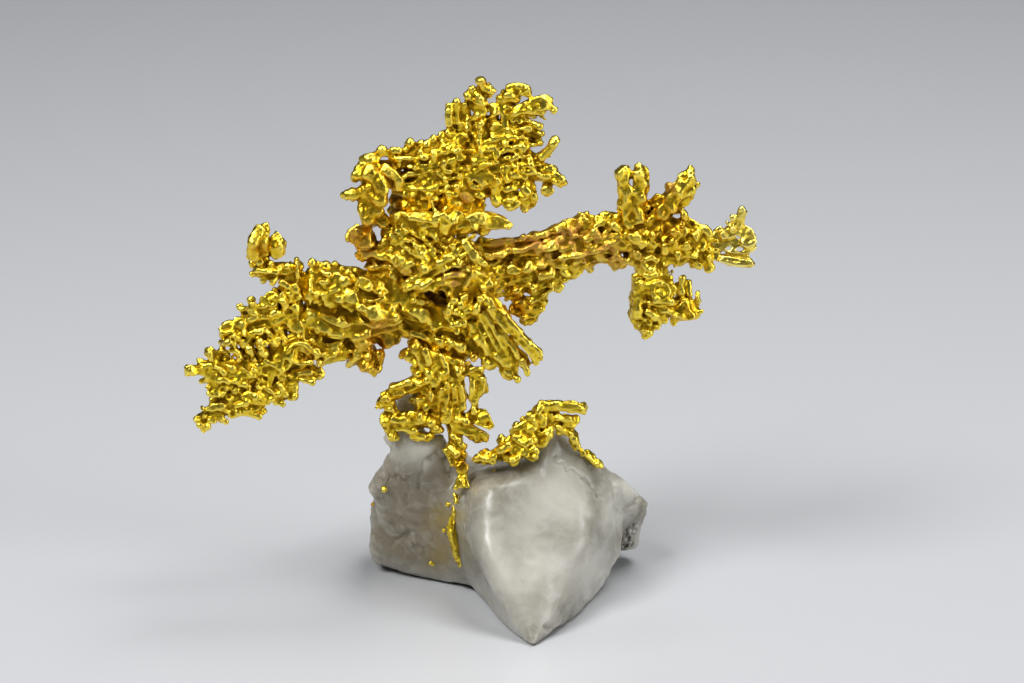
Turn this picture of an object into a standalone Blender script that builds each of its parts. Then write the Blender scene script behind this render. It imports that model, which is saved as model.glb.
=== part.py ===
"""A crystallised gold specimen standing on its lump of milky quartz, life size.

The specimen is laid out as it is seen from the front, a little from above. Places are written as
(across, up, depth) in millimetres: across and up are measured in that view, depth runs away from the viewer.
seen() turns them into places in space. Each limb of gold is a cluster of faceted crystals joined in one solid,
and the limbs are parted at their forks by a thin gap.
"""

import math

import bmesh
import bpy
import numpy as np
from mathutils import Vector

MM = 0.001
GAP = 0.3  # between two nodes that touch in nature
CLEAR = 40.0  # how far the blocks that part the limbs reach in depth

# The view that the places are laid out in.
VIEW_TILT = math.radians(20.0)
VIEW_DISTANCE = 450.0
AIM_ACROSS = 5.1
AIM_UP = 38.2
AIM_DEPTH = 3.0
AIM_HEIGHT = 33.43

# The gold's general depth, at the middle of each limb.
WING_DEPTH = 1.5
CORE_DEPTH = 4.0
FAN_DEPTH = 5.5
ARM_DEPTH = 5.0
PLATE_DEPTH = 6.0

BROAD_FACING = (0.24, -0.76, 0.60)  # the way that the big quartz face looks

UNEVEN = 0.16  # how far a crystal's corners stray, as a share of its half width
SEED = 11

GOLD = (0.83, 0.60, 0.16, 1.0)
QUARTZ = (0.74, 0.73, 0.69, 1.0)


def clear_scene():
    for thing in list(bpy.data.objects):
        bpy.data.objects.remove(thing, do_unlink=True)


def material(name, colour, roughness, metallic):
    made = bpy.data.materials.new(name)
    made.use_nodes = True
    made.diffuse_color = colour
    shader = made.node_tree.nodes["Principled BSDF"]
    shader.inputs["Base Color"].default_value = colour
    shader.inputs["Roughness"].default_value = roughness
    shader.inputs["Metallic"].default_value = metallic
    return made


INTO_VIEW = np.array((0.0, math.cos(VIEW_TILT), -math.sin(VIEW_TILT)))
UP_VIEW = np.array((0.0, math.sin(VIEW_TILT), math.cos(VIEW_TILT)))


def seen_on(across, up, foot, facing):
    """The place in space, in millimetres, of a point seen at (across, up) that lies on the plane
    through foot with this facing."""
    beside = np.array((across - AIM_ACROSS, 0.0, 0.0)) + UP_VIEW * (up - AIM_UP)
    start = np.array((AIM_ACROSS, AIM_DEPTH, AIM_HEIGHT)) + beside
    sight = INTO_VIEW + beside / VIEW_DISTANCE
    facing = np.array(facing)
    return start + sight * (facing @ (np.array(foot) - start)) / (facing @ sight)


def seen(across, up, depth):
    """The place in space of a point seen at (across, up) that lies at this depth."""
    return seen_on(across, up, (0.0, depth, 0.0), (0.0, 1.0, 0.0))


def on_ground(across, up):
    """The place seen at (across, up) on the surface that the specimen stands on."""
    return seen_on(across, up, (0.0, 0.0, 0.0), (0.0, 0.0, 1.0))


def crystal(path, deep=1.0, sides=6, tip=0.7):
    """A closed, faceted crystal: a ring of corners round each stop of its path and a point at each end.

    A stop is (across, up, depth, half width). The half depth is deep times the half width.
    """
    middles = np.array([seen(*stop[:3]) for stop in path])
    widths = np.array([stop[3] for stop in path])
    runs = np.gradient(middles, axis=0)
    runs /= np.linalg.norm(runs, axis=1)[:, None]
    across = np.cross(runs, INTO_VIEW)
    across /= np.linalg.norm(across, axis=1)[:, None]
    inward = np.cross(across, runs)
    angles = np.linspace(0, 2 * math.pi, sides, endpoint=False) + dice.uniform(0, math.pi)
    stray = 1 + UNEVEN * dice.uniform(-1, 1, (len(path), sides))
    sideways = np.cos(angles)[None, :] * widths[:, None] * stray
    backward = np.sin(angles)[None, :] * widths[:, None] * stray * deep
    rings = middles[:, None] + across[:, None] * sideways[:, :, None] + inward[:, None] * backward[:, :, None]
    first = middles[0] - runs[0] * widths[0] * tip
    last = middles[-1] + runs[-1] * widths[-1] * tip
    corners = np.vstack([rings.reshape(-1, 3), first, last])
    start, end = len(corners) - 2, len(corners) - 1
    faces = []
    for side in range(sides):
        beside = (side + 1) % sides
        faces.append((start, beside, side))
        for ring in range(len(path) - 1):
            low, high = ring * sides, (ring + 1) * sides
            faces.append((low + side, low + beside, high + beside, high + side))
        top = (len(path) - 1) * sides
        faces.append((end, top + side, top + beside))
    return corners, faces


def knob(across, up, depth, size, deep=1.0):
    """A blunt, many-sided ball."""
    half = 0.42 * size
    path = [(across, up - half, depth, size * 0.88), (across, up + half, depth, size * 0.88)]
    return crystal(path, deep, 6, 0.62)


def row(start, end, count, reach, width, deep=1.0, lift=0.0, sides=4):
    """Crystals side by side from start to end, each lying along reach, an (across, up, depth) step.

    lift is how far single crystals stand out of the row, towards the viewer or away.
    """
    made = []
    reach = np.array(reach, float)
    for share in (np.arange(count) + 0.5) / count:
        foot = np.array(start, float) * (1 - share) + np.array(end, float) * share
        foot[2] += lift * dice.uniform(-1, 1)
        length = reach * dice.uniform(0.78, 1.12)
        size = width * dice.uniform(0.85, 1.15)
        path = [(*foot, size), (*(foot + length), size * dice.uniform(0.7, 1.05))]
        made.append(crystal(path, deep, sides))
    return made


def parting(first, second, keep, reach=9.0):
    """A block that cuts a limb off along the line first-second of the view, on the side away from keep."""
    one, two = seen(*first, CORE_DEPTH), seen(*second, CORE_DEPTH)
    along = (two - one) / np.linalg.norm(two - one)
    out = np.cross(along, INTO_VIEW)
    if out @ (seen(*keep, CORE_DEPTH) - one) > 0:
        out = -out
    corners = []
    for step in (-GAP / 2, reach):
        for end, back in ((one, -1), (two, -1), (two, 1), (one, 1)):
            corners.append(end + out * step + INTO_VIEW * back * CLEAR / 2)
    faces = [(0, 1, 2, 3), (7, 6, 5, 4)]
    faces += [(n, n + 4, (n + 1) % 4 + 4, (n + 1) % 4) for n in range(4)]
    return np.array(corners), faces


def mesh_object(name, shells):
    """One mesh object that holds all the shells, each with its faces pointing out."""
    shape = bmesh.new()
    for corners, faces in shells:
        points = [shape.verts.new(Vector(corner) * MM) for corner in corners]
        made = [shape.faces.new([points[n] for n in face]) for face in faces]
        volume = sum((corners[f[0]] @ np.cross(corners[f[i]], corners[f[i + 1]]))
                     for f in faces for i in range(1, len(f) - 1))
        if volume < 0:
            bmesh.ops.reverse_faces(shape, faces=made)
    bmesh.ops.triangulate(shape, faces=shape.faces[:])
    mesh = bpy.data.meshes.new(name)
    shape.to_mesh(mesh)
    shape.free()
    thing = bpy.data.objects.new(name, mesh)
    bpy.context.collection.objects.link(thing)
    return thing


def combine(thing, other, operation):
    """Bakes one Boolean into thing's mesh and drops the other object."""
    step = thing.modifiers.new(operation.lower(), "BOOLEAN")
    step.operation = operation
    step.solver = "EXACT"
    step.use_self = True
    step.object = other
    bpy.context.view_layer.update()
    graph = bpy.context.evaluated_depsgraph_get()
    baked = bpy.data.meshes.new_from_object(thing.evaluated_get(graph))
    thing.modifiers.clear()
    thing.data = baked
    bpy.data.objects.remove(other, do_unlink=True)


def keep_largest(thing):
    """Drops the chips, pinched flaps and closed-in hollows that a Boolean leaves, and keeps the one big body."""
    shape = bmesh.new()
    shape.from_mesh(thing.data)
    bmesh.ops.triangulate(shape, faces=shape.faces[:])
    unseen = set(shape.faces)
    bodies = []
    while unseen:
        body, waiting = set(), [unseen.pop()]
        while waiting:
            face = waiting.pop()
            body.add(face)
            for edge in face.edges:
                near = [other for other in edge.link_faces if other in unseen]
                if len(edge.link_faces) == 2 and near:
                    unseen.discard(near[0])
                    waiting.append(near[0])
        bodies.append(body)
    bodies.sort(key=len)
    for body in bodies[:-1]:
        middle = sum((face.calc_center_median() for face in body), Vector()) / len(body) / MM
        print("   drops a body of", len(body), "faces at", [round(value, 1) for value in middle])
        bmesh.ops.delete(shape, geom=list(body), context="FACES")
    shape.to_mesh(thing.data)
    shape.free()


def lighten(thing, most):
    """Merges the smallest facets until at most this many triangles are left."""
    found = len(thing.data.polygons)
    if found <= most:
        return
    step = thing.modifiers.new("lighten", "DECIMATE")
    step.ratio = most / found
    bpy.context.view_layer.update()
    graph = bpy.context.evaluated_depsgraph_get()
    baked = bpy.data.meshes.new_from_object(thing.evaluated_get(graph))
    thing.modifiers.clear()
    thing.data = baked


def limb(name, shells, cuts, finish, most, clear_of=()):
    """Joins the shells in one solid, then cuts it off at its forks and clear of the grown quartz."""
    thing = mesh_object(name, shells[:1])
    combine(thing, mesh_object(name + "_crystals", shells[1:]), "UNION")
    keep_largest(thing)
    joined = len(thing.data.polygons)
    lighten(thing, most)
    for number, cut in enumerate(cuts + list(clear_of)):
        combine(thing, mesh_object(name + "_cut_%d" % number, [cut]), "DIFFERENCE")
    keep_largest(thing)
    thing.data.materials.clear()
    thing.data.materials.append(finish)
    print(name, joined, "triangles joined,", len(thing.data.polygons), "kept")
    return thing


# Quartz


def hull(points, grown=0.0):
    """The closed convex stone round these places, its faces moved out by grown."""
    shape = bmesh.new()
    for point in points:
        shape.verts.new(point)
    found = bmesh.ops.convex_hull(shape, input=shape.verts[:])
    loose = [thing for thing in found["geom_interior"] + found["geom_unused"] if isinstance(thing, bmesh.types.BMVert)]
    bmesh.ops.delete(shape, geom=list(set(loose)), context="VERTS")
    shape.normal_update()
    moves = [vert.co + vert.normal * vert.calc_shell_factor() * grown for vert in shape.verts]
    for vert, place in zip(shape.verts, moves):
        vert.co = place
    shape.verts.index_update()
    corners = np.array([tuple(vert.co) for vert in shape.verts])
    faces = [tuple(vert.index for vert in face.verts) for face in shape.faces]
    shape.free()
    return corners, faces


def right_crystal():
    """The big crystal: it stands on its front tip, and its smooth broad face leans back from there."""
    tip = on_ground(7.6, 0.6)
    broad = [(1.8, 12.0), (1.4, 20.8), (5.0, 22.4), (8.8, 23.4), (13.0, 21.6), (16.4, 18.6), (13.2, 11.6)]
    ground = [(8.5, 1.1), (5.0, 2.9), (2.8, 5.1), (9.9, 3.1), (13.0, 4.7), (15.7, 7.6)]
    side = [(0.3, 8.2, 4.0), (-1.2, 11.0, 3.4), (-2.1, 15.0, 3.0), (-2.2, 19.6, 2.4), (-0.8, 22.0, 2.6),
            (18.2, 17.0, 4.0), (18.6, 13.4, 4.8), (17.6, 10.4, 5.2)]
    behind = [(-1.0, 15.0, 0.0), (-2.0, 16.5, 9.0), (2.0, 14.0, 14.4), (16.0, 13.5, 0.0), (17.0, 15.0, 6.0),
              (13.0, 16.0, 14.0)]
    return ([tip] + [seen_on(*place, tip, BROAD_FACING) for place in broad]
            + [on_ground(*place) for place in ground] + [seen(*place) for place in side] + behind)


def ledge():
    """The pale step behind the broad face, with the clear grey corner at its right end."""
    front = [
        (7.8, 23.4, 1.0), (13.0, 21.5, 1.8), (17.2, 18.0, 4.8), (19.3, 17.2, 7.2), (9.0, 25.0, 2.6),
        (12.8, 25.0, 4.2), (16.0, 22.6, 5.6), (18.4, 21.6, 7.4), (20.3, 20.0, 8.6), (22.0, 18.5, 10.4),
        (21.2, 16.7, 10.8), (20.4, 13.0, 13.0), (18.6, 12.6, 11.0),
    ]
    back = [(18.5, 15.5, 2.6), (20.5, 15.5, 8.0), (14.0, 16.5, 12.6), (6.0, 16.0, 15.0), (14.0, 15.5, 1.5)]
    return [seen(*place) for place in front] + back


def peak():
    """The small quartz peak under the arch of gold."""
    front = [(8.4, 25.0, 2.4), (9.6, 27.4, 3.6), (11.4, 27.7, 4.2), (12.9, 24.8, 4.0), (8.0, 23.0, 3.0),
             (13.5, 22.0, 4.6), (9.4, 26.5, 9.0), (12.4, 26.0, 9.6), (8.0, 21.0, 11.0), (14.0, 21.0, 11.0)]
    return [seen(*place) for place in front]


def left_lobe():
    """The greyer lobe: its front face overhangs, from a narrow top out to a wide foot."""
    front = [
        (-9.7, 26.0, 3.2), (-7.4, 26.3, 2.4), (-5.0, 25.9, 2.0), (-3.6, 25.3, 2.2), (-2.9, 23.4, 2.8),
        (-2.4, 20.5, 3.6), (-2.4, 15.0, 4.6), (-1.4, 10.4, 5.4), (0.2, 8.2, 3.6), (-2.6, 9.8, 6.2),
        (-4.6, 10.1, 6.2), (-7.0, 10.2, 6.6), (-9.4, 10.6, 7.8), (-12.1, 11.3, 9.4), (-12.2, 14.0, 8.6),
        (-11.4, 18.0, 6.6), (-10.9, 22.0, 5.4), (-10.2, 24.4, 4.2),
    ]
    back = [(-12.0, 13.0, 0.0), (-4.0, 15.0, 0.0), (-10.5, 10.6, 0.0), (0.0, 14.5, 0.0), (-12.4, 15.5, 6.0),
            (-9.5, 16.5, 14.0), (-5.0, 15.5, 15.8), (0.0, 16.5, 13.4), (2.0, 15.5, 4.0)]
    return [seen(*place) for place in front] + back


def shoulders():
    """The two small rises of quartz that show between the drapes of gold on the left lobe."""
    window = [(-9.2, 29.2, 4.4), (-8.4, 30.8, 4.6), (-6.9, 31.8, 4.8), (-5.8, 30.4, 4.4), (-5.4, 26.0, 3.4),
              (-9.4, 25.6, 4.0), (-8.2, 30.2, 7.6), (-6.2, 30.6, 7.8), (-9.0, 24.0, 8.6), (-5.4, 24.0, 8.6)]
    saddle = [(-4.2, 28.0, 4.0), (-3.0, 28.2, 4.2), (-2.4, 26.6, 3.8), (-4.6, 25.2, 3.2), (-2.8, 24.6, 3.4),
              (-4.0, 27.0, 7.2), (-2.8, 27.0, 7.4), (-4.4, 23.0, 7.6), (-2.6, 23.0, 7.8)]
    return [[seen(*place) for place in part] for part in (window, saddle)]


def rind():
    """The rough white rim that bulges from the left lobe's outer edge."""
    front = [(-12.2, 21.8, 6.2), (-12.3, 20.2, 6.4), (-11.6, 18.8, 6.4), (-10.6, 19.4, 5.4), (-10.4, 22.6, 5.0),
             (-11.2, 22.4, 5.2), (-10.4, 20.5, 10.0), (-11.8, 20.8, 9.4)]
    low = [(-12.9, 16.6, 8.4), (-12.4, 15.0, 8.6), (-11.4, 14.6, 8.0), (-11.2, 17.6, 7.0), (-12.1, 17.4, 7.4),
           (-11.0, 16.2, 12.0), (-12.4, 16.2, 11.0)]
    return [[seen(*place) for place in part] for part in (front, low)]


def druse():
    """The cluster of small, sparkling quartz points low on the right."""
    made = []
    for number in range(7):
        across = 18.6 + 0.3 * number
        up = 15.0 - 0.5 * abs(number - 3) + dice.uniform(-0.5, 0.5)
        foot = (across - 0.9, up + 0.6, 10.4, 0.75)
        made.append(crystal([foot, (across + 0.1, up - 0.4, 9.4 + 0.5 * number, 0.5)], 1.0, 5, 1.0))
    return made


def quartz_stones():
    return [right_crystal(), ledge(), peak(), left_lobe(), *shoulders(), *rind()]


def make_quartz(finish):
    stones = [hull(points) for points in quartz_stones()]
    return limb("quartz_matrix", stones + druse(), [], finish, 420)


# Gold


def make_wing(finish):
    """The broad leaf at the far left: two layers of side crystals, with the bean-shaped knob on top."""
    d = WING_DEPTH
    shells = [
        crystal([(-20.2, 42.6, d + 1, 1.7), (-24, 41.4, d + 0.6, 1.9), (-27, 40.2, d, 1.6), (-29.6, 39.0, d - 0.6, 1.1)], 0.8),
        crystal([(-20.2, 38.2, d + 0.6, 1.9), (-24, 35.8, d, 2.1), (-28, 34.4, d - 1, 1.9), (-32, 34.6, d - 1.8, 1.2)], 0.7),
        crystal([(-20.2, 33.9, d + 0.8, 1.6), (-24.5, 32.6, d, 1.8), (-28.5, 31.2, d - 0.8, 1.9), (-31.2, 30.6, d - 1.2, 1.0)], 0.75),
        crystal([(-30.0, 30.0, d - 0.8, 0.9), (-27.6, 29.9, d - 0.6, 0.95), (-25.4, 29.9, d - 0.4, 0.8)], 0.9),
        crystal([(-32.6, 34.7, d - 2, 1.0), (-34.4, 34.7, d - 2.2, 0.7)], 0.9),
        crystal([(-31.4, 34.0, d - 1.6, 1.0), (-32.4, 33.4, d - 1.8, 0.6)], 0.9),
        crystal([(-32.6, 30.0, d - 2.0, 0.5), (-29.8, 30.4, d - 2.0, 0.5)], 0.9),
        crystal([(-33.2, 28.7, d - 1.2, 0.7), (-31.4, 29.4, d - 1.2, 0.9), (-29.4, 30.2, d - 0.8, 0.9)], 1.0),
        crystal([(-25.4, 48.8, d, 0.9), (-24.8, 46.8, d, 1.0)], 1.2),
        crystal([(-22.8, 45.1, d - 0.2, 0.5), (-20.4, 44.3, d, 0.55)], 1.2),
        crystal([(-24.9, 51.8, d, 0.8), (-26.0, 50.4, d - 0.8, 1.25), (-26.0, 48.6, d - 0.6, 0.95)], 1.3),
        crystal([(-23.8, 51.2, d + 0.6, 0.8), (-23.5, 50.1, d + 0.6, 1.3), (-23.2, 48.8, d + 0.6, 0.9)], 1.1),
        crystal([(-25.9, 47.1, d - 0.2, 1.15), (-23.6, 46.9, d + 0.4, 1.1), (-20.4, 46.6, d + 1, 1.1)], 1.2),
        crystal([(-21.2, 48.0, d, 0.4), (-21.0, 45.6, d, 0.45)], 2.6),
        crystal([(-22.0, 46.8, d + 0.8, 1.0), (-21.6, 43.4, d + 0.8, 1.1)], 1.1),
    ]
    shells += [knob(-25.0, 50.0, d + 0.4, 1.1), knob(-26.1, 46.6, d - 0.3, 0.85), knob(-25.0, 46.1, d, 0.75),
               knob(-23.9, 46.0, d - 0.4, 0.8), knob(-24.2, 43.5, d - 0.3, 1.1), knob(-22.9, 44.2, d + 0.6, 0.9),
               knob(-33.1, 28.7, d - 1.0, 0.75), knob(-32.1, 28.0, d - 1.3, 0.7), knob(-31.6, 29.3, d - 1.2, 1.0),
               knob(-30.3, 28.7, d - 0.9, 0.75), knob(-32.6, 33.2, d - 1.4, 0.5)]
    for back in (-0.3, 1.3):
        shells += row((-22, 42.6, d + back), (-28, 40.2, d - 1 + back), 5, (-0.5, 2.2, -0.4), 0.62, 0.9, 0.4)
        shells += row((-23, 40.4, d + back), (-29.4, 39.2, d - 1.4 + back), 5, (-1.4, -1.6, -0.3), 0.66, 0.9, 0.4)
        shells += row((-21.5, 38.4, d + back), (-31.5, 34.9, d - 2 + back), 7, (-1.0, 1.7, -0.3), 0.66, 0.9, 0.4)
        shells += row((-22, 35, d + back), (-32, 33.4, d - 1.6 + back), 7, (-0.4, -1.9, -0.2), 0.7, 0.9, 0.4)
        shells += row((-21.6, 33.2, d + back), (-31, 30.6, d - 1 + back), 7, (-0.1, -1.7, 0.2), 0.62, 0.8, 0.3)
    shells += row((-29.2, 40, d - 0.8), (-29.2, 38.6, d - 0.6), 2, (-1.0, 0.1, 0), 0.55)
    cuts = [parting((-20.6, 50), (-20.6, 29), (-25, 40))]
    return limb("gold_left_wing", shells, cuts, finish, 1240)


def make_hook(finish):
    """The curled rope at the upper left, with its pointing finger."""
    d = FAN_DEPTH - 1.5
    shells = [
        crystal([(-13.2, 59.0, d, 0.75), (-12.2, 57.9, d, 1.3), (-11.5, 56.2, d, 1.3), (-12.1, 54.6, d, 1.35),
                 (-12.0, 53.4, d, 1.35), (-11.4, 51.6, d, 1.3)], 1.1),
        crystal([(-15.2, 56.1, d - 0.6, 0.6), (-14.0, 56.1, d - 0.4, 0.85), (-12.2, 56.4, d, 0.9)], 0.95),
        crystal([(-12.4, 59.2, d - 0.5, 0.55), (-11.2, 57.6, d - 0.9, 0.6), (-10.7, 56, d - 0.9, 0.6), (-11.5, 54.2, d - 1, 0.6)]),
        crystal([(-13.0, 54.8, d - 0.6, 0.55), (-12.6, 53.4, d - 0.9, 0.6), (-11.0, 52.9, d - 0.7, 0.65)]),
        knob(-13.9, 58.3, d - 0.2, 0.8),
        knob(-12.9, 58.9, d + 0.5, 0.9),
    ]
    cuts = [parting((-14.4, 60.3), (-9.8, 56.5), (-12, 55)), parting((-16, 52.35), (-9, 52.35), (-12, 55)),
            parting((-10.3, 58), (-10.3, 50), (-12, 55), 2.0)]
    return limb("gold_hook", shells, cuts, finish, 230)


def make_fan(finish):
    """The tall top fan: a deep netted sheet with blunt fingers round its rim."""
    d = FAN_DEPTH
    shells = [
        crystal([(-8.4, 52.6, d, 2.2), (-6.2, 56.5, d, 3.0), (-3.6, 59.5, d, 2.8), (-1.6, 62.4, d, 2.2)], 0.8),
        crystal([(-3.0, 52.6, d, 3.0), (-1.0, 57, d + 0.3, 3.2), (1.6, 60.6, d + 0.4, 2.8), (1.8, 64.8, d + 0.4, 1.6)], 0.8),
        crystal([(-1.5, 52.6, d - 0.4, 1.6), (0.4, 57.0, d, 1.8), (4.6, 59.4, d, 2.4), (7.4, 60.0, d, 1.8)], 0.9),
        crystal([(-8.8, 60.2, d, 1.2), (-5.2, 61.0, d, 1.5), (-1.0, 61.6, d, 1.6)], 1.3),
        crystal([(-12.0, 59.9, d - 0.6, 0.9), (-10.0, 59.0, d - 0.6, 1.3), (-8.6, 57.2, d, 1.1)], 1.1),
        crystal([(-9.6, 61.0, d - 0.3, 0.9), (-6.8, 60.9, d, 1.0)], 1.2),
        crystal([(4.6, 61.6, d + 0.4, 0.9), (4.3, 65.4, d + 0.3, 0.6), (4.0, 68.8, d + 0.2, 0.4)], 1.3),
        crystal([(5.4, 60.6, d + 0.2, 1.6), (5.6, 63.4, d + 0.3, 1.4), (5.2, 66.0, d + 0.2, 0.8)], 1.0),
        crystal([(4.5, 68.2, d, 0.45), (5.8, 69.1, d, 0.5), (7.0, 68.6, d + 0.2, 0.45)], 1.6),
        crystal([(4.6, 67.0, d + 0.6, 0.8), (5.8, 68.4, d + 0.6, 0.6)], 1.2),
        crystal([(5.0, 65.8, d, 0.75), (7.3, 67.0, d - 0.2, 0.9), (9.4, 67.1, d - 0.2, 0.95)], 0.9),
        crystal([(6.6, 66.2, d + 0.6, 0.7), (9.0, 66.2, d + 0.4, 0.6)], 1.0),
        crystal([(8.7, 66.0, d, 0.35), (9.0, 65.4, d, 0.25)]),
        crystal([(5.6, 64.9, d, 0.6), (8.2, 64.4, d - 0.2, 0.42)], 1.2),
        crystal([(6.0, 63.4, d + 0.2, 0.5), (8.8, 63.4, d, 0.4)], 1.2),
        crystal([(6.2, 62.3, d, 0.55), (8.3, 62.3, d, 0.5)], 1.2),
        crystal([(8.2, 60.4, d, 0.75), (9.4, 61.4, d - 0.3, 0.65), (10.3, 62.6, d - 0.4, 0.55)]),
        crystal([(6.6, 59.2, d, 1.3), (9.4, 58.6, d - 0.2, 1.15), (11.2, 57.8, d - 0.3, 0.75)], 1.0),
        crystal([(9.6, 58.0, d, 0.7), (9.4, 56.5, d - 0.2, 0.75)], 0.9),
        crystal([(3.4, 58.2, d - 0.3, 1.1), (3.2, 55.3, d - 0.8, 0.85)], 1.1),
        crystal([(4.8, 58.0, d - 0.4, 1.1), (4.9, 54.8, d - 0.9, 0.95)], 1.1),
        crystal([(6.4, 58.2, d - 0.2, 1.2), (7.4, 56.0, d - 0.6, 0.85)], 1.1),
        crystal([(6.4, 56.4, d - 0.2, 0.9), (6.5, 54.5, d - 0.4, 0.6)], 1.1),
        crystal([(-2.6, 62.8, d - 0.3, 0.6), (-2.55, 66.2, d - 0.4, 0.42)], 1.2),
        crystal([(-1.6, 62.8, d - 0.1, 0.5), (-1.6, 66.8, d - 0.1, 0.42)], 1.2),
        crystal([(-0.6, 62.8, d + 0.2, 0.6), (-0.3, 67.6, d + 0.2, 0.5), (0.3, 69.1, d + 0.4, 0.45)], 1.2),
        crystal([(1.0, 63.4, d, 1.0), (1.2, 66.6, d, 0.85), (1.4, 69.6, d, 0.55)], 1.2),
        crystal([(1.4, 68.2, d, 0.6), (2.4, 69.0, d, 0.55)], 1.1),
        crystal([(2.8, 62.2, d, 0.8), (2.9, 65.9, d, 0.6)], 1.2),
        crystal([(1.8, 57.6, d - 0.6, 0.9), (1.0, 55.2, d - 0.8, 0.8), (-0.2, 53.0, d, 0.9)], 0.8),
    ]
    shells += [knob(-12.3, 60.3, d - 0.6, 0.9), knob(-10.8, 61.4, d - 0.3, 0.85), knob(-9.3, 61.5, d, 0.6),
               knob(-7.4, 62.2, d, 0.85), knob(-5.8, 62.4, d + 0.2, 0.6), knob(-4.4, 62.8, d + 0.1, 0.6),
               knob(-2.6, 66.8, d - 0.4, 0.55), knob(-1.6, 67.4, d - 0.1, 0.6), knob(-0.4, 68.1, d + 0.1, 0.6),
               knob(0.3, 69.0, d + 0.3, 0.6), knob(1.4, 70.0, d, 0.72), knob(2.4, 68.8, d, 0.75),
               knob(2.8, 66.2, d, 0.75), knob(10.4, 62.7, d - 0.4, 0.62), knob(-8.8, 55.1, d - 0.2, 0.95),
               knob(-8.4, 53.3, d - 0.6, 0.95), knob(9.8, 66.8, d - 0.2, 0.7), knob(10.2, 58.9, d, 0.7)]
    for front, spread in ((-1.0, 0.7), (1.0, 0.7)):
        face = d + front * 1.6
        shells += row((-8.6, 53.6, face), (-7.6, 60.0, face), 6, (3.6, 0.2, 0), 0.42, 0.8, spread)
        shells += row((-4.6, 53.8, face), (-3.4, 61.6, face), 7, (3.6, 0.7, 0), 0.42, 0.8, spread)
        shells += row((0.4, 57.6, face), (0.6, 62.6, face), 5, (3.6, 1.2, 0), 0.42, 0.8, spread)
        shells += row((3.4, 57.8, d + front * 1.3), (4.6, 64.6, d + front), 6, (2.6, 0.2, 0), 0.42, 0.9, spread)
        shells += row((-2.4, 62.6, d + front), (3.4, 62.6, d + front), 4, (0.2, 2.6, 0), 0.45, 0.9, spread)
    cuts = [parting((-14.4, 60.3), (-9.8, 56.5), (-5, 62), 4.0), parting((-9.9, 54.0), (2.4, 54.0), (0, 60)),
            parting((-10.0, 57), (-10.0, 52), (0, 55), 3.0)]
    return limb("gold_fan", shells, cuts, finish, 1660)


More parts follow.
